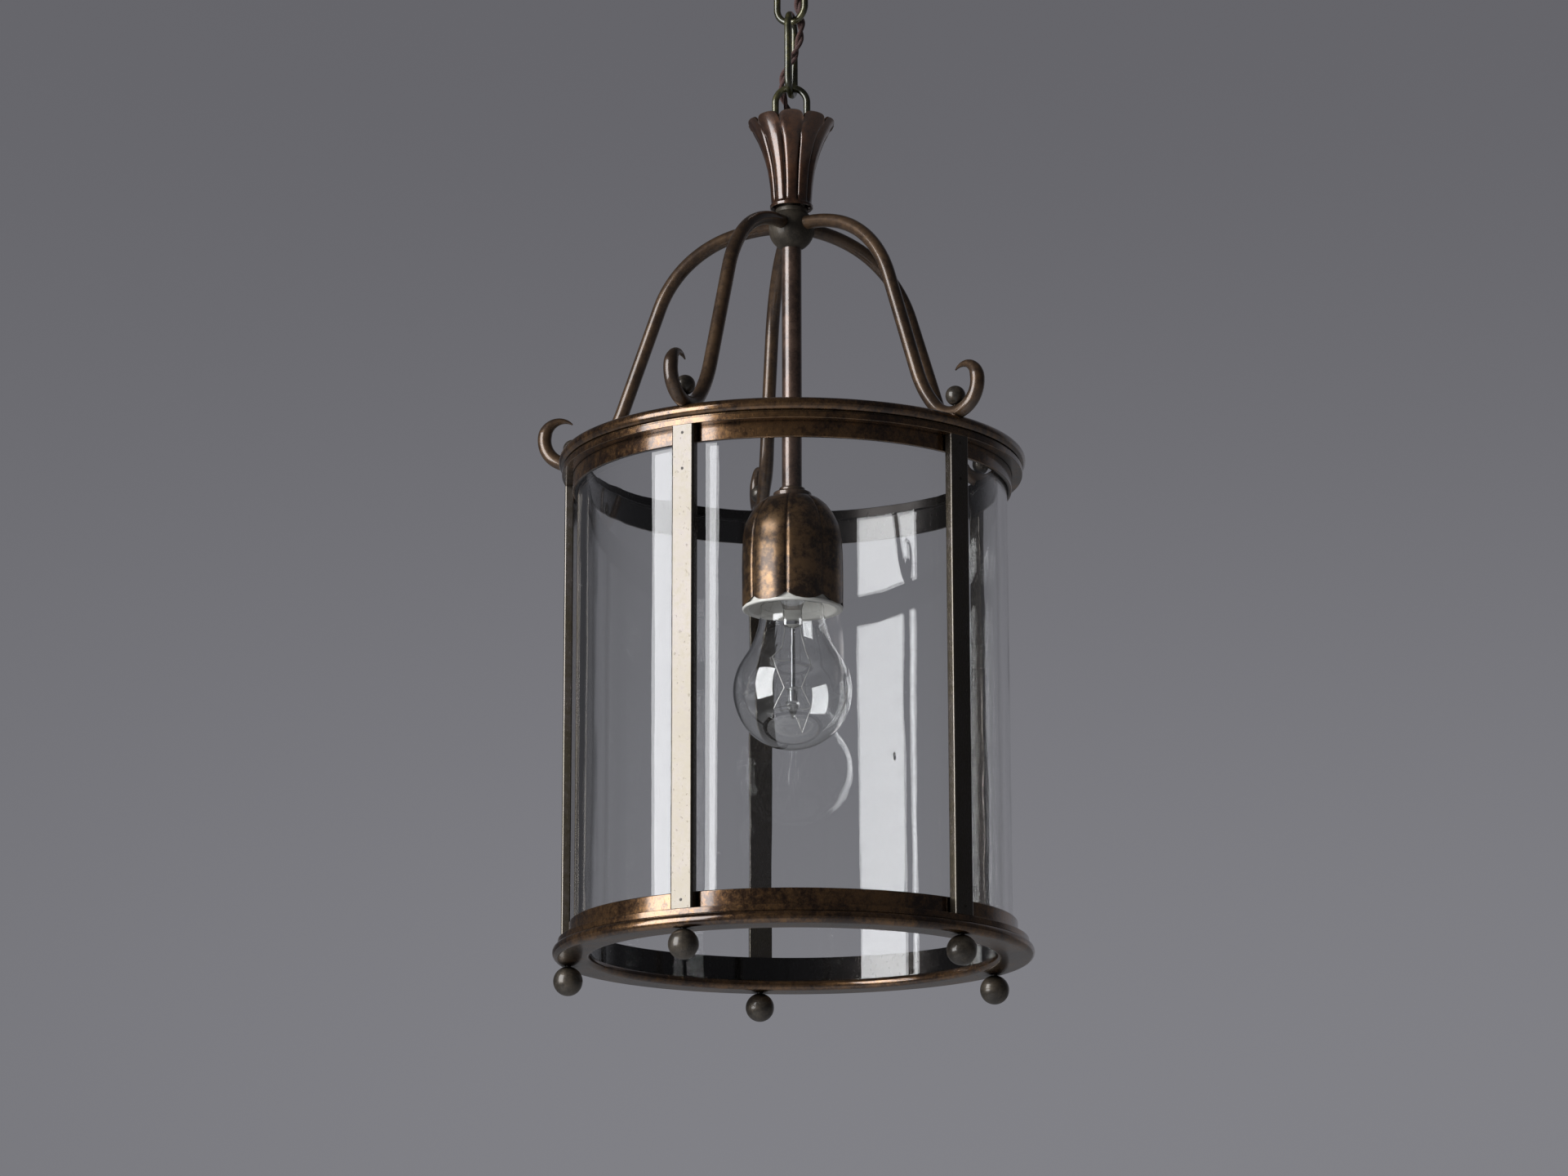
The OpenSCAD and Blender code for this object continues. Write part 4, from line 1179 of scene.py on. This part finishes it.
porcelain = glazed_porcelain()
CUP_RIM = HUSK_U - full + 0.4
cup_line = eased(
    [
        (r * mm, level(CUP_RIM + z), e * mm)
        for r, z, e in (
            (25.5, -1.5, 0.9), (22, -1.2, 1.2), (16, 12, 2), (14.1, 13, 0.5), (14.1, 38.1, 0.5), (6, 38.1, 0.5),
            (6, 42.1, 0.8), (17.5, 42.1, 1.5), (23.4, 18, 3), (24, 3, 1), (24.1, 0.4, 0.2), (25.5, 0.2, 0.5),
        )
    ]
)
fit_out(even_out(turned("porcelain_cup", cup_line, 128)), porcelain, "lantern", "porcelain", "inner_cup")
finish_node(porcelain, "contact_block")
shell_brass = patina("shell_brass", (0.3, 0.2, 0.09), (0.55, 0.42, 0.2), (0.7, 0.58, 0.35), (0.2, 0.35), 0.4, 0.01)
finish_node(shell_brass, "screw_shell", "centre_contact", "bulb_cap")


# Bulb
# A clear household lamp: a blown globe on a narrow neck in a screw cap, and inside it a glass stem with
# the zig-zag filament on hook wires.

finish_node(clear_glass("lamp_glass", 1.75), "bulb_glass")
GLOBE_R = 30 * mm
PINCH = (32.6, 43)
PINCH_FLAT = 0.4
globe_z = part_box("bulb_glass")[0].z + GLOBE_R
flare_low, flare_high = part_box("bulb_stem")
flare_r = (flare_high.x - flare_low.x) / 2 / mm
flare_top = (flare_high.z - globe_z) / mm
stem_line = eased(
    [
        (2.6, -14.3, 0.6), (2.6, 1.4, 0.6), (1.3, 1.9, 0.3), (1.3, 32.2, 0.6), (4.9, 33.8, 0.8), (4.9, 42, 1),
        (6.2, 46, 2), (flare_r, flare_top - 0.6, 0.2), (flare_r, flare_top, 0.2),
    ]
)[:-1]
lamp_stem = turned(
    "lamp_stem", [(r * mm, globe_z + z * mm) for r, z in [(0.4, -14.3), *stem_line, (0.4, flare_top)]], 48
)
start_piece()
lamp_stem.select_set(True)
bpy.context.view_layer.objects.active = lamp_stem
bpy.ops.object.mode_set(mode="EDIT")
mesh = bmesh.from_edit_mesh(lamp_stem.data)
for vert in mesh.verts:
    vert.select_set(globe_z + PINCH[0] * mm < vert.co.z < globe_z + PINCH[1] * mm)
mesh.select_flush_mode()
bpy.ops.transform.resize(value=(1, PINCH_FLAT, 1), center_override=(0, 0, globe_z))
bpy.ops.mesh.select_all(action="SELECT")
bpy.ops.mesh.fill_holes(sides=0)
bpy.ops.mesh.normals_make_consistent(inside=False)
bpy.ops.object.mode_set(mode="OBJECT")
lamp_stem.data.transform(Matrix.Rotation(math.radians(VIEW_TURN), 4, "Z"))
even_out(lamp_stem)
stem_glass = clear_glass("stem_glass", 1.6, Coat_Weight=1.0, Coat_Roughness=0.04, Coat_IOR=2.2)
fit_out(lamp_stem, stem_glass, "bulb", "bulb_glass", "bulb_stem")
wire_metal = patina("wire_metal", (0.4, 0.39, 0.37), (0.6, 0.59, 0.57), (0.7, 0.7, 0.68), (0.25, 0.35), 0.2, 0.004)
FILAMENT_ROUTE = [
    (-5.2, -1, 22.7), (-10.5, 0, 17.9), (-4.2, -7, 0.4), (-9.7, -2, -9.2), (-1, 6, -5.7), (4.6, 1, -21),
    (9.1, -2, -8.8), (4.2, 6, 3.3), (9.2, 0, 14.1), (8, -1, 16.4),
]
WIRE_R = 0.2 * mm
LEAD_SPAN = 3.8
ROOT_SPAN = (-13.5, 16)
HOOK_SAG = 0.12


def in_bulb(spot):
    """A place in millimetres from the middle of the globe, turned with the filament."""
    return Matrix.Rotation(math.radians(FLEX_TURN), 3, "Z") @ Vector(spot) * mm + Vector((0, 0, globe_z))


corners = [in_bulb(spot) for spot in FILAMENT_ROUTE]
zigzag = bent_rod("zigzag", corners, [WIRE_R] * len(corners), 8)
fit_out(zigzag, wire_metal, "bulb", "filament_wire", "filament")
ends = [(in_bulb((side * LEAD_SPAN, 0, 33.5)), corner) for side, corner in ((-1, corners[0]), (1, corners[-1]))]
for spot, corner in zip(FILAMENT_ROUTE[1:-1], corners[1:-1]):
    root_z = min(max(spot[2], ROOT_SPAN[0]), ROOT_SPAN[1])
    out = Vector((spot[0], spot[1], 0)).normalized() * (1.3 if root_z > 1.9 else 2.6)
    ends.append((in_bulb((out.x, out.y, root_z)), corner))
wires = []
for start, end in ends:
    sag = (start + end) / 2 - Vector((0, 0, HOOK_SAG * (end - start).length))
    path_points = smooth_route([start, sag, end], 0.8 * mm)
    wires.append(bent_rod("wire", path_points, [WIRE_R] * len(path_points), 8))
start_piece()
for wire in wires:
    wire.select_set(True)
bpy.context.view_layer.objects.active = wires[0]
bpy.ops.object.join()
hook_wires = bpy.context.object
hook_wires.name = "hook_wires"
fit_out(hook_wires, wire_metal, "bulb", "filament_wire", "filament_wires")
